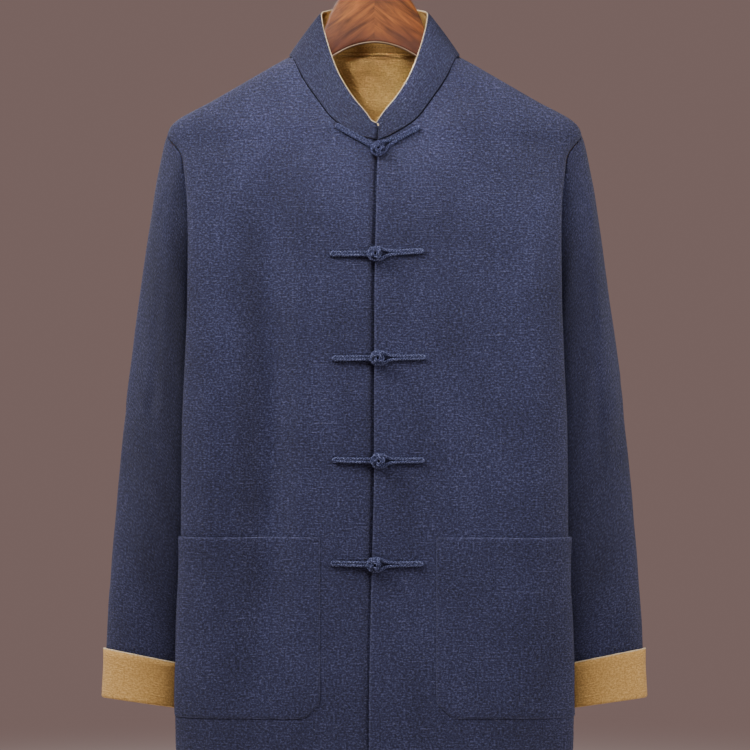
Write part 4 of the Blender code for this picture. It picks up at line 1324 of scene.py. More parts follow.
def tube_mesh(name, path, radius, sides, closed_ends=True, bias=0.0, twist=STRAIGHT):
    """A round tube along a line of points. Bias slants its threads, and twist its plies."""
    path = np.asarray(path, float)
    radii = np.broadcast_to(radius, len(path))
    tangents = unit(np.gradient(path, axis=0))
    across = SIDEWAYS
    run = along(path)
    made = bmesh.new()
    layer = made.loops.layers.uv.new("cloth")
    wear_and_highlight = made.verts.layers.float.new("edge")
    rings = []
    for point, tangent, size, place in zip(path, tangents, radii, run):
        across = unit(across - tangent * (across @ tangent))
        other = np.cross(tangent, across)
        ring = []
        for s in range(sides):
            turn = 2 * pi * s / sides
            ply = cos(twist.plies * turn + 2 * pi * place / twist.pitch)
            out = cos(turn) * across + sin(turn) * other
            vert = made.verts.new(point + size * (1 + twist.height * ply) * out)
            # The crests of a cord's plies are marked for a painted highlight.
            vert[wear_and_highlight] = max(ply, 0.0) * (twist.plies > 0)
            ring.append(vert)
        rings.append(ring)
    for i, (a, b) in enumerate(zip(rings, rings[1:])):
        around = 2 * pi * float(radii[i]) / sides
        for s in range(sides):
            k = (s + 1) % sides
            face = made.faces.new((a[s], a[k], b[k], b[s]))
            corners = ((s, i), (s + 1, i), (s + 1, i + 1), (s, i + 1))
            for loop, (place, step) in zip(face.loops, corners):
                girth = place * around
                loop[layer].uv = (girth + bias * run[step], run[step] - bias * girth)
    for end, way in ((0, -1), (-1, 1)) if closed_ends else ():
        tip = made.verts.new(path[end] + way * tangents[end] * radii[end] * TIP_SHARE)
        for s in range(sides):
            made.faces.new((rings[end][s], rings[end][(s + 1) % sides], tip))
    return finished_mesh(made, name)


# %% Neck and side seams
SEAM_RADIUS = 0.0014
# The tube lies this little out of the collar's own line, under its outer wall.
SEAM_OUT = 0.0002
FELLED_RADIUS = 0.0014
# The felled roll is sunk in the seam by a part of its radius, and ends at the shoulders.
FELLED_SUNK = 0.7
FELLED_FROM = 0.004
SIDE_SEAM_RADIUS = 0.0010
SEAM_SIDES = 8
ROLL_SIDES = 10
# Near-black, far darker than the navy cloth: painted shade in the seams, in the knots' gaps and
# along the frogs' flanks.
seam_shade = linen_material(
    "navy_seam_painted_shade",
    LinenLook(
        dark=(0.002, 0.002, 0.007, 1.0),
        mid=(0.005, 0.005, 0.016, 1.0),
        pale=(0.014, 0.014, 0.036, 1.0),
        nep=(0.020, 0.020, 0.040, 1.0),
        roughness=0.90,
        sheen=0.0,
        relief=0.40,
        slub_shade=0.40,
    ),
)


def lay_tube(name, line, radius, sides, material):
    """A tube along a seam or an edge, in the material that it is given."""
    piece = link_piece(name, tube_mesh(name, line, radius, sides), material)


seam_line = collar.points[0] - collar_normals[0] * (SEAM_RADIUS - SEAM_OUT)
lay_tube("neck_seam", seam_line, SEAM_RADIUS, SEAM_SIDES, seam_shade)
below_arm = slice(0, UNDERARM_ROW + 1)
for side, column in (("left", -1), ("right", 0)):
    front_line = shells[f"front_{side}"][0][below_arm, -1]
    back_line = shells["back"][0][below_arm, column]
    inward = shells["back"][1][below_arm, column] * SIDE_SEAM_RADIUS
    side_line = (front_line + back_line) / 2 - inward
    name = f"side_seam_{side}"
    lay_tube(name, side_line, SIDE_SEAM_RADIUS, SEAM_SIDES, seam_shade)
felled_depth = 2 * SEAM_RADIUS + FELLED_RADIUS * FELLED_SUNK
felled = collar.points[0] - collar_normals[0] * felled_depth
at_back = collar.points[0][:, 1] > FELLED_FROM
lay_tube("neck_felled", felled[at_back], FELLED_RADIUS, ROLL_SIDES, mustard_cloth)
print("points of the neck seam:", len(seam_line), "of its felled part:", int(at_back.sum()))

# %% [markdown]
# ## Cream edges
#
# The two cloths of the collar are joined by a narrow roll of pale thread and lining,
# which draws a light line along its edge. Along the top edge of each cuff the same pale
# tube is a painted highlight, where the light catches the fold. A tube follows each
# edge, and its radius swells and shrinks a little, as a hand-turned edge does.

# %% Cream piping
PIPING_RADIUS = 0.00076
PIPING_SIDES = 8
PIPING_STEP = 0.0022
PIPING_OUT = 0.0002
# How much the radius swells, and the two waves that the swelling is made of.
SWELL = 0.16
SWELL_WAVES = (0.9, 0.23)

# Cream for the collar's edge, and a painted highlight along the cuffs' top edges.
edge_highlight = linen_material(
    "cream_piping_and_cuff_highlight",
    LinenLook(
        dark=(0.56, 0.42, 0.23, 1.0),
        mid=(0.74, 0.60, 0.38, 1.0),
        pale=(0.88, 0.78, 0.58, 1.0),
        nep=(0.86, 0.80, 0.66, 1.0),
        roughness=0.80,
        sheen=0.10,
        relief=0.40,
        slub_shade=0.40,
    ),
)


def lay_piping(name, path):
    """A pale tube along a line of points: the collar's cream edge, and a cuff's painted highlight.
    """
    path = resampled(path, PIPING_STEP)
    count = np.arange(len(path))
    swell = 1 + SWELL * np.sin(count * SWELL_WAVES[0]) * np.sin(count * SWELL_WAVES[1])
    lay_tube(name, path, PIPING_RADIUS * swell, PIPING_SIDES, edge_highlight)
    print(f"{name}: {along(path)[-1]:.3f} m")


edge_of_collar = collar_outer - collar_normals * NAVY_THICKNESS
top_edge = edge_of_collar[-1] + unit(edge_of_collar[-1] - edge_of_collar[-4]) * PIPING_OUT
left_end = edge_of_collar[-3:-1, -1]
right_end = edge_of_collar[-3:-1, 0]
lay_piping("collar_piping", np.concatenate([right_end, top_edge, left_end[::-1]]))
# The cuffs' pale tubes are painted highlights along their top edges.
for side, (outer, normal) in cuffs.items():
    lay_piping(f"cuff_{side}_piping", outer[0] - normal[0] * CUFF_THICKNESS / 2)

# %% [markdown]
# ## Patch pockets
#
# A patch pocket is a square of the same cloth, laid on the front, with its inner
# bottom corner cut off and its outer edge caught in the side seam. It is made from
# the front's own surface, moved out by its thickness, so it follows every fold. The
# mouth hangs open by a few millimetres, and that gap is the darkest line there.

# %% Pockets
POCKET_TOP = -0.660
POCKET_CLIP = -0.836
POCKET_BOTTOM = -0.852
POCKET_INNER = {"left": 0.0655, "right": 0.0575}
CLIP_WIDTH = 0.018
POCKET_HEM = 0.0186
MOUTH_OPENING = 0.0026
MOUTH_REACH = 0.070
MOUTH_TACKED = 0.09
# How bluntly the mouth's opening ends at both sides.
MOUTH_BLUNT = 0.6
POCKET_LIFT = 0.0001
POCKET_THICKNESS = 0.0010
POCKET_WIDTH = 0.166
# The pocket is cut from another part of the cloth, so its threads lie a little aside.
POCKET_THREADS = (0.0013, 0.0021)


def pocket_grid(side):
    """Points of the front under a pocket, rows from its bottom to its mouth."""
    mirror = 1 if side == "left" else -1
    points = []
    threads = []
    for share in graded(POCKET_TOP - POCKET_BOTTOM):
        level = POCKET_BOTTOM + (POCKET_TOP - POCKET_BOTTOM) * share
        start = place_at_x(level, FRONT, POCKET_INNER[side])
        clipped = (POCKET_CLIP - level) / (POCKET_CLIP - POCKET_BOTTOM)
        start += CLIP_WIDTH * max(clipped, 0.0)
        lengths = mirror * (start + (panel_end(level, FRONT) - start) * graded(POCKET_WIDTH))
        points.append(body_row(level, FRONT, lengths))
        levels = np.full(len(lengths), level + POCKET_THREADS[1])
        threads.append(np.column_stack([lengths + POCKET_THREADS[0], levels]))
    return Grid(np.array(points), np.array(threads))


pockets = {}
for side in ("left", "right"):
    grid = pocket_grid(side)
    normals = grid_normals(grid.points, grid.points * BODY_AXIS)
    up = 1 - (POCKET_TOP - grid.threads[:, 0, 1]) / MOUTH_REACH
    across = np.linspace(0, 1, grid.points.shape[1])
    past_tack = np.clip((across - MOUTH_TACKED) / (1 - MOUTH_TACKED), 0, 1)
    sag = np.sin(pi * past_tack) ** MOUTH_BLUNT
    opening = MOUTH_OPENING * np.outer(np.clip(up, 0, 1) ** 2, sag)[..., None]
    outer = grid.points + normals * (POCKET_LIFT + POCKET_THICKNESS) + normals * opening
    outer = rolled(outer, normals)
    inner = grid.points + normals * POCKET_LIFT + normals * opening
    worn = ("first", "last", "start")
    piece = cloth_wall(f"pocket_{side}_cloth", outer, inner, grid.threads, navy_cloth, worn)
    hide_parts(f"pocket_{side}")
    declare_sheet(grid.points)
    pockets[side] = (outer, normals)

# %% [markdown]
# ## Frog closures
#
# Each frog has two halves of doubled cord. The right half ends in a button knot. The
# left half ends in a loop that goes round the knot. The cord is a tube of the same
# cloth cut on the bias, and twisted, so its plies stand up, and their crests are painted
# pale as highlights. The paths are worked out flat, in X and Z, and are then laid on the
# closed front. The knot is one cord woven on a ball, over a near-black core: painted
# shade that fills the gaps between its strands.

# %% Sizes of the frogs
Frog = namedtuple("Frog", "knot_x knot_z stem_x stem_z loop_x loop_z")
FROGS = [
    Frog(0.0040, -0.2450, -0.0420, -0.2190, 0.0475, -0.2215),
    Frog(0.0010, -0.3590, -0.0475, -0.3590, 0.0510, -0.3560),
    Frog(0.0037, -0.4700, -0.0452, -0.4705, 0.0527, -0.4692),
    Frog(0.0045, -0.5788, -0.0448, -0.5780, 0.0515, -0.5784),
    Frog(0.0002, -0.6885, -0.0465, -0.6873, 0.0503, -0.6878),
]
CORD_RADIUS = 0.00168
STRAND_STEP = 0.00150
CORD_STEP = 0.00048
CORD_LIFT = 0.00200
CORD_SIDES = 15
CORD_TWIST = TubeTwist(3, 0.0030, 0.13)
LOOP_RADIUS = 0.0070
LOOP_RISE = 0.0024
KNOT_RADIUS = 0.0067
KNOT_LIFT = 0.0062
KNOT_CORD = 0.00155
# The core of a knot is smaller than the ball by this many radii of its cord.
CORE_INSET = 1.75
# The first knot is turned by so many degrees about the way out, and each by more.
KNOT_TURNS = (20, 31)

LoopOpening = namedtuple("LoopOpening", "share opening")
LOOP_OPENINGS = [
    LoopOpening(0.00, 0.00),
    LoopOpening(0.30, 0.00),
    LoopOpening(0.56, 0.03),
    LoopOpening(0.70, 0.16),
    LoopOpening(0.80, 0.52),
    LoopOpening(0.89, 0.86),
]
print("frogs:", len(FROGS))

# %% Cord materials
# The cord's pale colour, far lighter than the cloth, is a painted highlight on the crests of its
# plies.
navy_cord = linen_material(
    "navy_bias_cord",
    LinenLook(
        dark=(0.005, 0.006, 0.028, 1.0),
        mid=(0.031, 0.036, 0.122, 1.0),
        pale=(0.460, 0.510, 0.900, 1.0),
        nep=(0.30, 0.31, 0.34, 1.0),
        roughness=0.44,
        sheen=0.0,
        relief=1.00,
        slub_shade=0.42,
    ),
)
# The cord of the neck frog is darker than the four below it: painted shade, where the collar keeps
# the light off it.
neck_shaded_cord = linen_material(
    "neck_shaded_navy_bias_cord",
    LinenLook(
        dark=(0.004, 0.005, 0.022, 1.0),
        mid=(0.025, 0.029, 0.098, 1.0),
        pale=(0.270, 0.300, 0.580, 1.0),
        nep=(0.16, 0.17, 0.22, 1.0),
        roughness=0.60,
        sheen=0.0,
        relief=1.00,
        slub_shade=0.42,
    ),
)
print("cords:", navy_cord.name, neck_shaded_cord.name)


# %% Paths of the cords
def smooth_line(points, step):
    """A smooth line through given points, with its points evenly spaced."""
    points = np.asarray(points, float)
    padded = np.concatenate([[2 * points[0] - points[1]], points, [2 * points[-1] - points[-2]]])
    line = []
    for a, b, c, d in zip(padded, padded[1:], padded[2:], padded[3:]):
        for t in np.linspace(0, 1, 12, endpoint=False):
            line.append(0.5 * (2 * b + (c - a) * t + (2 * a - 5 * b + 4 * c - d) * t**2
                               + (3 * b - a - 3 * c + d) * t**3))
    line.append(points[-1])
    return resampled(np.array(line), step)


def laid_on_front(flat_path, lifts):
    """Lay X, Z points on the closed front, each so far out from the cloth."""
    return np.array([front_surface(x, z) - [0.0, lift, 0.0]
                     for (x, z), lift in zip(flat_path, lifts)])


def frog_frame(tip, knot):
    """The frog's direction from its tip to the knot, and the direction across it."""
    run = unit(knot - tip)
    return run, np.array([-run[1], run[0]])


def stem_path(tip, knot):
    """Two strands from the knot to the tip, which turn back there."""
    run, across = frog_frame(tip, knot)
    root = knot - run * KNOT_RADIUS * 0.5
    centre = tip + run * (STRAND_STEP + CORD_RADIUS)
    shares = np.linspace(0, 1, 7)
    out = [root + (centre - root) * s + across * STRAND_STEP for s in shares]
    cap = [centre + STRAND_STEP * (across * cos(t) - run * sin(t))
           for t in np.radians((35, 90, 145))]
    back_again = [root + (centre - root) * s - across * STRAND_STEP for s in shares[::-1]]
    return out + cap + back_again


def loop_path(tip, knot):
    """A cord that leaves the tip, goes round the knot and comes back beside itself."""
    run, across = frog_frame(tip, knot)
    length = float(np.linalg.norm(knot - tip))
    strand = []
    for row in LOOP_OPENINGS:
        aside = STRAND_STEP + (LOOP_RADIUS - STRAND_STEP) * row.opening
        strand.append((row.share * length, aside))
    cap = [knot + LOOP_RADIUS * (run * cos(t) + across * sin(t))
           for t in np.radians((64, 32, 0, -32, -64))]
    out = [tip + run * (s + CORD_RADIUS) + across * a for s, a in strand]
    back_again = [tip + run * (s + CORD_RADIUS) - across * a for s, a in reversed(strand)]
    start = [tip + across * STRAND_STEP * 0.2]
    return start + out + cap + back_again + start


def loop_lifts(path, knot):
    """The loop rises over the knot's stem, on the far side of the knot."""
    near = 1 - np.linalg.norm(np.array(path) - knot, axis=1) / (1.8 * LOOP_RADIUS)
    return CORD_LIFT + LOOP_RISE * ease(near * 2.2)


def knot_path(radius, turn):
    """A woven ball: three leads and four bights of one closed cord, turned about Y."""
    points = []
    for t in np.linspace(0, 2 * pi, 361):
        height = 1.02 * cos(4 * t)
        reach = radius + 0.00085 * sin(8 * t)
        points.append((reach * cos(height) * cos(3 * t),
                       -reach * sin(height),
                       reach * cos(height) * sin(3 * t)))
    turned = [[cos(turn), 0, sin(turn)], [0, 1, 0], [-sin(turn), 0, cos(turn)]]
    return np.array(points) @ np.array(turned)


# %% The frogs' pieces
for number, frog in enumerate(FROGS, start=1):
    knot = np.array((frog.knot_x, frog.knot_z))
    stem = stem_path(np.array((frog.stem_x, frog.stem_z)), knot)
    loop = loop_path(np.array((frog.loop_x, frog.loop_z)), knot)
    centre = front_surface(*knot) - [0.0, KNOT_LIFT, 0.0]
    turn = radians(KNOT_TURNS[0] + KNOT_TURNS[1] * number)
    paths = {
        "stem": smooth_line(laid_on_front(stem, [CORD_LIFT] * len(stem)), CORD_STEP),
        "loop": smooth_line(laid_on_front(loop, loop_lifts(loop, knot)), CORD_STEP),
        "knot": knot_path(KNOT_RADIUS - KNOT_CORD, turn) + centre,
    }
    for part, path in paths.items():
        name = f"frog_{number}_{part}_cord"
        mesh = tube_mesh(name, path, KNOT_CORD if part == "knot" else CORD_RADIUS, CORD_SIDES,
                         closed_ends=part != "knot", bias=1.0, twist=CORD_TWIST)
        # The neck frog takes the darker cord, a painted shade under the collar.
        piece = link_piece(name, mesh, neck_shaded_cord if number == 1 else navy_cord)
        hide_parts(f"frog_{number}_{part}")
    # A near-black core inside the knot: painted shade in the gaps between its strands.
    core = bmesh.new()
    bmesh.ops.create_icosphere(core, subdivisions=3, radius=KNOT_RADIUS - CORE_INSET * KNOT_CORD)
    bmesh.ops.translate(core, verts=core.verts, vec=centre)
    name = f"frog_{number}_knot_core"
    link_piece(name, finished_mesh(core, name), seam_shade)
    print(f"frog {number}: cords of", [round(along(path)[-1], 3) for path in paths.values()], "m")

# %% [markdown]
# ## Stitches
#
# A tailor's top-stitching is a row of short threads, each lying in a small dent. Here
# every stitch is a thin spindle laid on the cloth, a little below its surface at both
# ends. The rows follow the cloth's own points, so they bend with the folds: round the
# pockets, under the pocket mouth, above the hem and along the neck seam inside. A few
# close rows tack down the mouth's inner corner, where a hand would tear it. The frogs'
# cords are sewn down along both flanks with a thick near-black thread, which also
# paints the shade along the cords' flanks.

# %% Stitches
STITCH_LENGTH = 0.0026
STITCH_GAP = 0.0007
STITCH_PROUD = 0.00012
STITCH_SIDES = 6
THREAD_LOOK = {"roughness": 0.7, "sheen": 0.1, "relief": 0.3, "slub_shade": 0.4}
Thread = namedtuple("Thread", "radius material slot")


def thread_material(name, dark, mid, pale):
    """The material of a sewing thread, whose neps are as pale as its pale colour."""
    return linen_material(name, LinenLook(dark, mid, pale, pale, **THREAD_LOOK))


navy_thread = Thread(
    0.00024,
    thread_material(
        "navy_thread",
        (0.010, 0.011, 0.030, 1.0),
        (0.018, 0.019, 0.050, 1.0),
        (0.050, 0.050, 0.110, 1.0),
    ),
    "navy_cloth",
)
mustard_thread = Thread(
    0.00026,
    thread_material(
        "mustard_thread",
        (0.160, 0.080, 0.020, 1.0),
        (0.260, 0.140, 0.040, 1.0),
        (0.400, 0.240, 0.090, 1.0),
    ),
    "mustard_lining",
)
# Thick and near-black: real stitches that also paint the shade along the cords' flanks.
frog_thread = Thread(0.00062, seam_shade, "navy_cord")


def add_spindle(mesh, layer, start, end, radius, outward):
    """One stitch: pointed at both ends, half sunk in the cloth."""
    middle = (start + end) / 2 + outward * STITCH_PROUD
    run = unit(end - start)
    across = unit(np.cross(run, outward))
    ring = [mesh.verts.new(middle + radius * (cos(t) * across + sin(t) * outward))
            for t in np.linspace(0, 2 * pi, STITCH_SIDES + 1)[:-1]]
    tips = [mesh.verts.new(start), mesh.verts.new(end)]
    for s in range(STITCH_SIDES):
        k = (s + 1) % STITCH_SIDES
        for tip in tips:
            face = mesh.faces.new((ring[s], ring[k], tip))
            for loop, place in zip(face.loops, (s, s + 1, s + 0.5)):
                loop[layer].uv = (place * radius, loop.vert.co.length)


def sew(name, lines, thread):
    """Rows of stitches in one piece. A line is its points and the way out at each."""
    made = bmesh.new()
    layer = made.loops.layers.uv.new("cloth")
    pitch = STITCH_LENGTH + STITCH_GAP
    total = 0
    for path, outward in lines:
        run = along(path)
        count = int(run[-1] / pitch)
        total += count
        for number in range(count):
            place = number * pitch
            start, end = points_at((place, place + STITCH_LENGTH), run, path)
            near = int(np.abs(run - place).argmin())
            add_spindle(made, layer, start, end, thread.radius, outward[near])
    piece = link_piece(name, finished_mesh(made, name), thread.material)
    print(f"{name}: {total} stitches")


def nearest(line, place):
    """The number of the point of a line that is nearest to a length along it."""
    return int(np.abs(along(line) - place).argmin())


# %% Pocket stitches
POCKET_STITCH = 0.0022
TACK_LENGTH = 0.0135
TACK_ROWS = (2, 3, 4)
for side, (outer, normals) in pockets.items():
    column = nearest(outer[-1], POCKET_STITCH)
    row = nearest(outer[:, -1], POCKET_STITCH)
    hem = len(outer) - 1 - nearest(outer[::-1, 0], POCKET_HEM)
    tack = slice(1, nearest(outer[-1], TACK_LENGTH) + 1)
    edge = np.concatenate([outer[row:, column][::-1], outer[row, column + 1 :]])
    edge_out = np.concatenate([normals[row:, column][::-1], normals[row, column + 1 :]])
    lines = [(edge, edge_out), (outer[hem, 1:-1], normals[hem, 1:-1])]
    lines += [(outer[-n, tack], normals[-n, tack]) for n in TACK_ROWS]
    sew(f"pocket_{side}_stitches", lines, navy_thread)

# %% Hem and neck stitches
HEM_STITCH = 0.022
NECK_STITCH = 0.0045
for name, (outer, normals) in shells.items():
    row = nearest(outer[:, outer.shape[1] // 2], HEM_STITCH)
    sew(f"{name}_hem_stitches", [(outer[row, 1:-1], normals[row, 1:-1])], navy_thread)

row = nearest(facing_inner[:, facing_inner.shape[1] // 2], NECK_STITCH)
neck_line = (facing_inner[row, 3:-3], -facing_normals[row, 3:-3])
sew("collar_facing_stitches", [neck_line], mustard_thread)

# %% Frog stitches
FROG_FLANK = STRAND_STEP + CORD_RADIUS + 0.0003
# The cords are sewn down over this share of the way from a tip to the knot.
FROG_SEWN = 0.76
for number, frog in enumerate(FROGS, start=1):
    knot = np.array((frog.knot_x, frog.knot_z))
    lines = []
    for tip in ((frog.stem_x, frog.stem_z), (frog.loop_x, frog.loop_z)):
        run, across = frog_frame(tip, knot)
        for flank in (FROG_FLANK, -FROG_FLANK):
            path = []
            for share in np.linspace(0, FROG_SEWN, 9):
                path.append(front_surface(*(tip + (knot - tip) * share + across * flank)))
            lines.append((np.array(path), np.tile([0.0, -1.0, 0.0], (len(path), 1))))
    sew(f"frog_{number}_stitches", lines, frog_thread)

# %% [markdown]
# ## The wooden hanger
#
# The hanger is a flat board: a high hump for the hook, and two arms that slope inside
# the shoulders. Only the hump shows. Its outline is a smooth line through a few points.
# Stepping that outline inwards while it goes from face to face rounds the edges over,
# as a router does. The grain runs down along each arm, the same on both sides of the
# middle, as in a board glued up from two matched halves.

# %% Hanger
HANGER_THICKNESS = 0.013
HANGER_BEVEL = 0.004
HangerEdge = namedtuple("HangerEdge", "x z")
HANGER_TOP = [
    HangerEdge(0.0000, -0.0650),
    HangerEdge(0.0170, -0.0664),
    HangerEdge(0.0310, -0.0708),
    HangerEdge(0.0400, -0.0785),
    HangerEdge(0.0458, -0.0880),
    HangerEdge(0.0500, -0.0962),
    HangerEdge(0.0530, -0.1040),
    HangerEdge(0.0562, -0.1120),
    HangerEdge(0.0605, -0.1225),
    HangerEdge(0.0680, -0.1335),
    HangerEdge(0.0815, -0.1465),
    HangerEdge(0.1060, -0.1590),
    HangerEdge(0.1400, -0.1785),
    HangerEdge(0.1750, -0.1985),
    HangerEdge(0.2000, -0.2130),
]
HANGER_BOTTOM = [
    HangerEdge(0.2060, -0.2215),
    HangerEdge(0.2040, -0.2320),
    HangerEdge(0.1950, -0.2365),
    HangerEdge(0.1700, -0.2235),
    HangerEdge(0.1350, -0.2020),
    HangerEdge(0.1000, -0.1790),
    HangerEdge(0.0720, -0.1560),
    HangerEdge(0.0454, -0.1392),
    HangerEdge(0.0240, -0.1286),
    HangerEdge(0.0000, -0.1244),
]
# The board is painted darker towards its lower part between these two heights: painted shade.
PAINTED_SHADE_HEIGHTS = (-0.098, -0.126)
PAINTED_SHADE_SHARE = 0.80
WOOD_COLOURS = ((0.034, 0.008, 0.003, 1.0), (0.258, 0.082, 0.015, 1.0))
PAINTED_SHADE_COLOUR = (0.060, 0.014, 0.007, 1.0)
PORE_COLOUR = (0.05, 0.012, 0.006, 1.0)
PORE_SHARE = 0.55
PAINTED_HIGHLIGHT_COLOUR = (0.82, 0.66, 0.47, 1.0)
GRAIN_SLOPE = -38
GRAIN_SCALE = (22.0, 60.0, 150.0)
PORE_SCALE = (90.0, 500.0, 900.0)
PORE_DEPTH = 0.0003
VARNISH = {
    "Roughness": 0.40,
    "Specular IOR Level": 0.2,
    "Coat Weight": 0.08,
    "Coat Roughness": 0.12,
}
OUTLINE_STEP = 0.0022
ROUNDING_STEPS = 7
print("points that give the hanger's outline:", len(HANGER_TOP) + len(HANGER_BOTTOM))


# %% Varnished wood
def scaled_noise(tree, place, scale, **inputs):
    """Noise stretched by a scale along each axis."""
    moved = add_node(tree, "ShaderNodeMapping", {"Vector": place, "Scale": scale}).outputs[0]
    inputs = {"Vector": moved, "Scale": 1.0, **inputs}
    return add_node(tree, "ShaderNodeTexNoise", inputs).outputs["Fac"]


def varnished_wood():
    """Red-brown stained wood under gloss varnish, its grain along the board, with painted shade low
    down and a painted highlight on the lower edge.
    """
    material, tree, shader = new_material("varnished_wood")
    place = add_node(tree, "ShaderNodeTexCoord").outputs["Object"]
    parts = add_node(tree, "ShaderNodeSeparateXYZ", {"Vector": place})
    aside = add_math(tree, "ABSOLUTE", parts.outputs[0])
    half = add_math(tree, "ADD", add_math(tree, "SIGN", parts.outputs[0]), parts.outputs[1])
    folded = {"X": aside, "Y": half, "Z": parts.outputs[2]}
    matched = add_node(tree, "ShaderNodeCombineXYZ", folded).outputs[0]
    slope = {"Vector": matched, "Rotation": (0.0, radians(GRAIN_SLOPE), 0.0)}
    sloped = add_node(tree, "ShaderNodeMapping", slope).outputs[0]
    grain = scaled_noise(tree, sloped, GRAIN_SCALE, Detail=6.0, Distortion=0.7)
    pores = scaled_noise(tree, sloped, PORE_SCALE, Detail=3.0)
    wood = add_mix(tree, add_range(tree, grain, 0.30, 0.68), *WOOD_COLOURS)
    # Painted shade: the board darkens towards its lower part.
    painted_shade = add_range(tree, parts.outputs[2], *PAINTED_SHADE_HEIGHTS)
    wood = add_mix(tree, add_math(tree, "MULTIPLY", painted_shade, PAINTED_SHADE_SHARE), wood, PAINTED_SHADE_COLOUR)
    dark_pores = add_range(tree, pores, 0.56, 0.74)
    wood = add_mix(tree, add_math(tree, "MULTIPLY", dark_pores, PORE_SHARE), wood, PORE_COLOUR)
    # A painted highlight: a pale line along the lower edge of the hump.
    pale = add_node(tree, "ShaderNodeAttribute", attribute_name="painted_highlight").outputs["Fac"]
    wood = add_mix(tree, pale, wood, PAINTED_HIGHLIGHT_COLOUR)
    tree.links.new(wood, shader.inputs["Base Color"])
    tree.links.new(add_bump(tree, pores, 0.12, PORE_DEPTH), shader.inputs["Normal"])
    set_inputs(shader, VARNISH)
    return material


# %% The board
def hanger_outline():
    """The smooth outline of the hanger, as X, Z points round it."""
    half = [(row.x, row.z) for row in HANGER_TOP + HANGER_BOTTOM]
    whole = half + [(-x, z) for x, z in reversed(half[1:-1])]
    knots = np.array([(x, 0.0, z) for x, z in whole[-3:] + whole + whole[:4]])
    line = smooth_line(knots, OUTLINE_STEP)
    off_start = np.linalg.norm(line - knots[3], axis=1)
    middle = len(line) // 2
    start = int(off_start[:middle].argmin())
    end = middle + int(off_start[middle:].argmin())
    return line[start:end][:, [0, 2]]


def join_rings(made, rings):
    """Faces between each ring of points and the next."""
    for a, b in zip(rings, rings[1:]):
        for s in range(len(a)):
            k = (s + 1) % len(a)
            made.faces.new((a[s], a[k], b[k], b[s]))


def hanger_mesh():
    """Rounded board between a front face and a back face."""
    outline = hanger_outline()
    ahead = np.roll(outline, -1, axis=0) - np.roll(outline, 1, axis=0)
    inward = unit(np.column_stack([ahead[:, 1], -ahead[:, 0]]))
    if (inward * (outline.mean(axis=0) - outline)).sum() < 0:
        inward = -inward
    made = bmesh.new()
    pale = made.verts.layers.float.new("painted_highlight")
    half = HANGER_THICKNESS / 2
    rings = []
    for turn in np.linspace(-pi / 2, pi / 2, 2 * ROUNDING_STEPS + 1):
        inset = HANGER_BEVEL * (1 - cos(turn)) * 0.8
        depth = (half - HANGER_BEVEL) * np.sign(turn) * (turn != 0) + HANGER_BEVEL * sin(turn)
        ring = []
        for (x, z), (to_x, to_z) in zip(outline, inward):
            vert = made.verts.new((x + to_x * inset, depth, z + to_z * inset))
            # The front rim of the hump's lower edge gets the painted highlight.
            low_edge = to_z > 0.35 and abs(x) < 0.07
            vert[pale] = 0.9 * float(low_edge and turn < -0.25 and inset < 0.0011)
            ring.append(vert)
        rings.append(ring)
    join_rings(made, rings)
    for ring in (rings[0], rings[-1]):
        edges = [made.edges.get(pair) for pair in zip(ring, ring[1:] + ring[:1])]
        bmesh.ops.triangle_fill(made, use_beauty=True, use_dissolve=False, edges=edges)
    return finished_mesh(made, "hanger_board")


hanger_piece = link_piece("hanger_board", hanger_mesh(), varnished_wood())
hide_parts("hanger")
print("hanger outline points:", len(hanger_outline()))

# %% [markdown]
# ## Hook and ferrule
#
# The hook is a bent steel wire. It turns in a small turned ferrule that is pressed
# into the top of the hump. Polished metal needs only a smooth tube, a low roughness
# and a few fine rubbing marks.

# %% Hook
WIRE_RADIUS = 0.0019
HOOK_RADIUS = 0.0200
HOOK_FOOT = -0.0644
WIRE_SUNK = 0.003
WIRE_STEP = 0.0012
WIRE_SIDES = 20
HookPoint = namedtuple("HookPoint", "x z")
HOOK_SWING = [
    HookPoint(0.0000, -0.0500),
    HookPoint(0.0006, -0.0445),
    HookPoint(0.0045, -0.0390),
    HookPoint(0.0120, -0.0335),
]
HOOK_ARC = (-35, 205)
HOOK_ARC_POINTS = 25


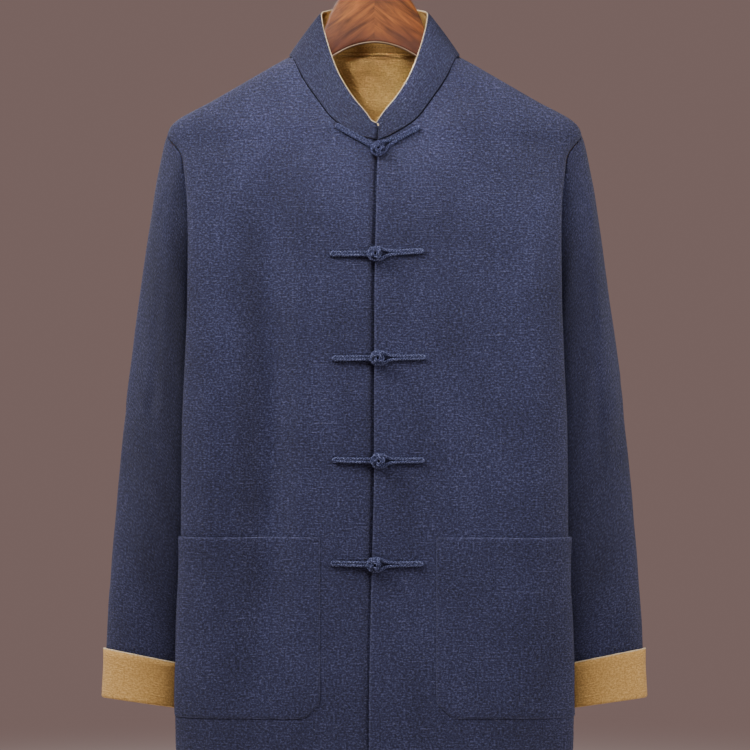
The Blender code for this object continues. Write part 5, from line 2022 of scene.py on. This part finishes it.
def polished_steel():
    """Grey steel with fine rubbing marks."""
    material, tree, shader = new_material("polished_steel")
    place = add_node(tree, "ShaderNodeTexCoord").outputs["Object"]
    marks_in = {"Vector": place, "Scale": 900.0, "Detail": 3.0}
    marks = add_node(tree, "ShaderNodeTexNoise", marks_in).outputs["Fac"]
    tree.links.new(add_range(tree, marks, 0.3, 0.7, 0.14, 0.30), shader.inputs["Roughness"])
    tint = add_mix(tree, marks, (0.56, 0.56, 0.57, 1.0), (0.70, 0.70, 0.71, 1.0))
    tree.links.new(tint, shader.inputs["Base Color"])
    shader.inputs["Metallic"].default_value = 1.0
    return material


steel = polished_steel()
arc_height = WIRE_RADIUS - HOOK_RADIUS
wire = [(0.0, 0.0, HOOK_FOOT + WIRE_SUNK)] + [(row.x, 0.0, row.z) for row in HOOK_SWING]
for turn in np.radians(np.linspace(*HOOK_ARC, HOOK_ARC_POINTS)):
    wire.append((HOOK_RADIUS * cos(turn), 0.0, arc_height + HOOK_RADIUS * sin(turn)))
hook_mesh = tube_mesh("hook_wire", smooth_line(wire, WIRE_STEP), WIRE_RADIUS, WIRE_SIDES)
hook_piece = link_piece("hook_wire", hook_mesh, steel)
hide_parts("hook")
print("hook wire points:", len(wire))

# %% Ferrule
FerruleRing = namedtuple("FerruleRing", "height radius")
FERRULE_PROFILE = [
    FerruleRing(0.0000, 0.0034),
    FerruleRing(0.0004, 0.0042),
    FerruleRing(0.0014, 0.0042),
    FerruleRing(0.0020, 0.0036),
    FerruleRing(0.0040, 0.0033),
    FerruleRing(0.0048, 0.0037),
    FerruleRing(0.0056, 0.0035),
    FerruleRing(0.0060, 0.0024),
]
FERRULE_SIDES = 32

turned = bmesh.new()
rings = []
for row in FERRULE_PROFILE:
    height = HOOK_FOOT + row.height
    ring = []
    for s in range(FERRULE_SIDES):
        turn = 2 * pi * s / FERRULE_SIDES
        ring.append(turned.verts.new((row.radius * cos(turn), row.radius * sin(turn), height)))
    rings.append(ring)
join_rings(turned, rings)
turned.faces.new(rings[0])
turned.faces.new(rings[-1])
ferrule_piece = link_piece("hook_ferrule", finished_mesh(turned, "hook_ferrule"), steel)
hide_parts("ferrule")
print("rings of the ferrule:", len(rings))
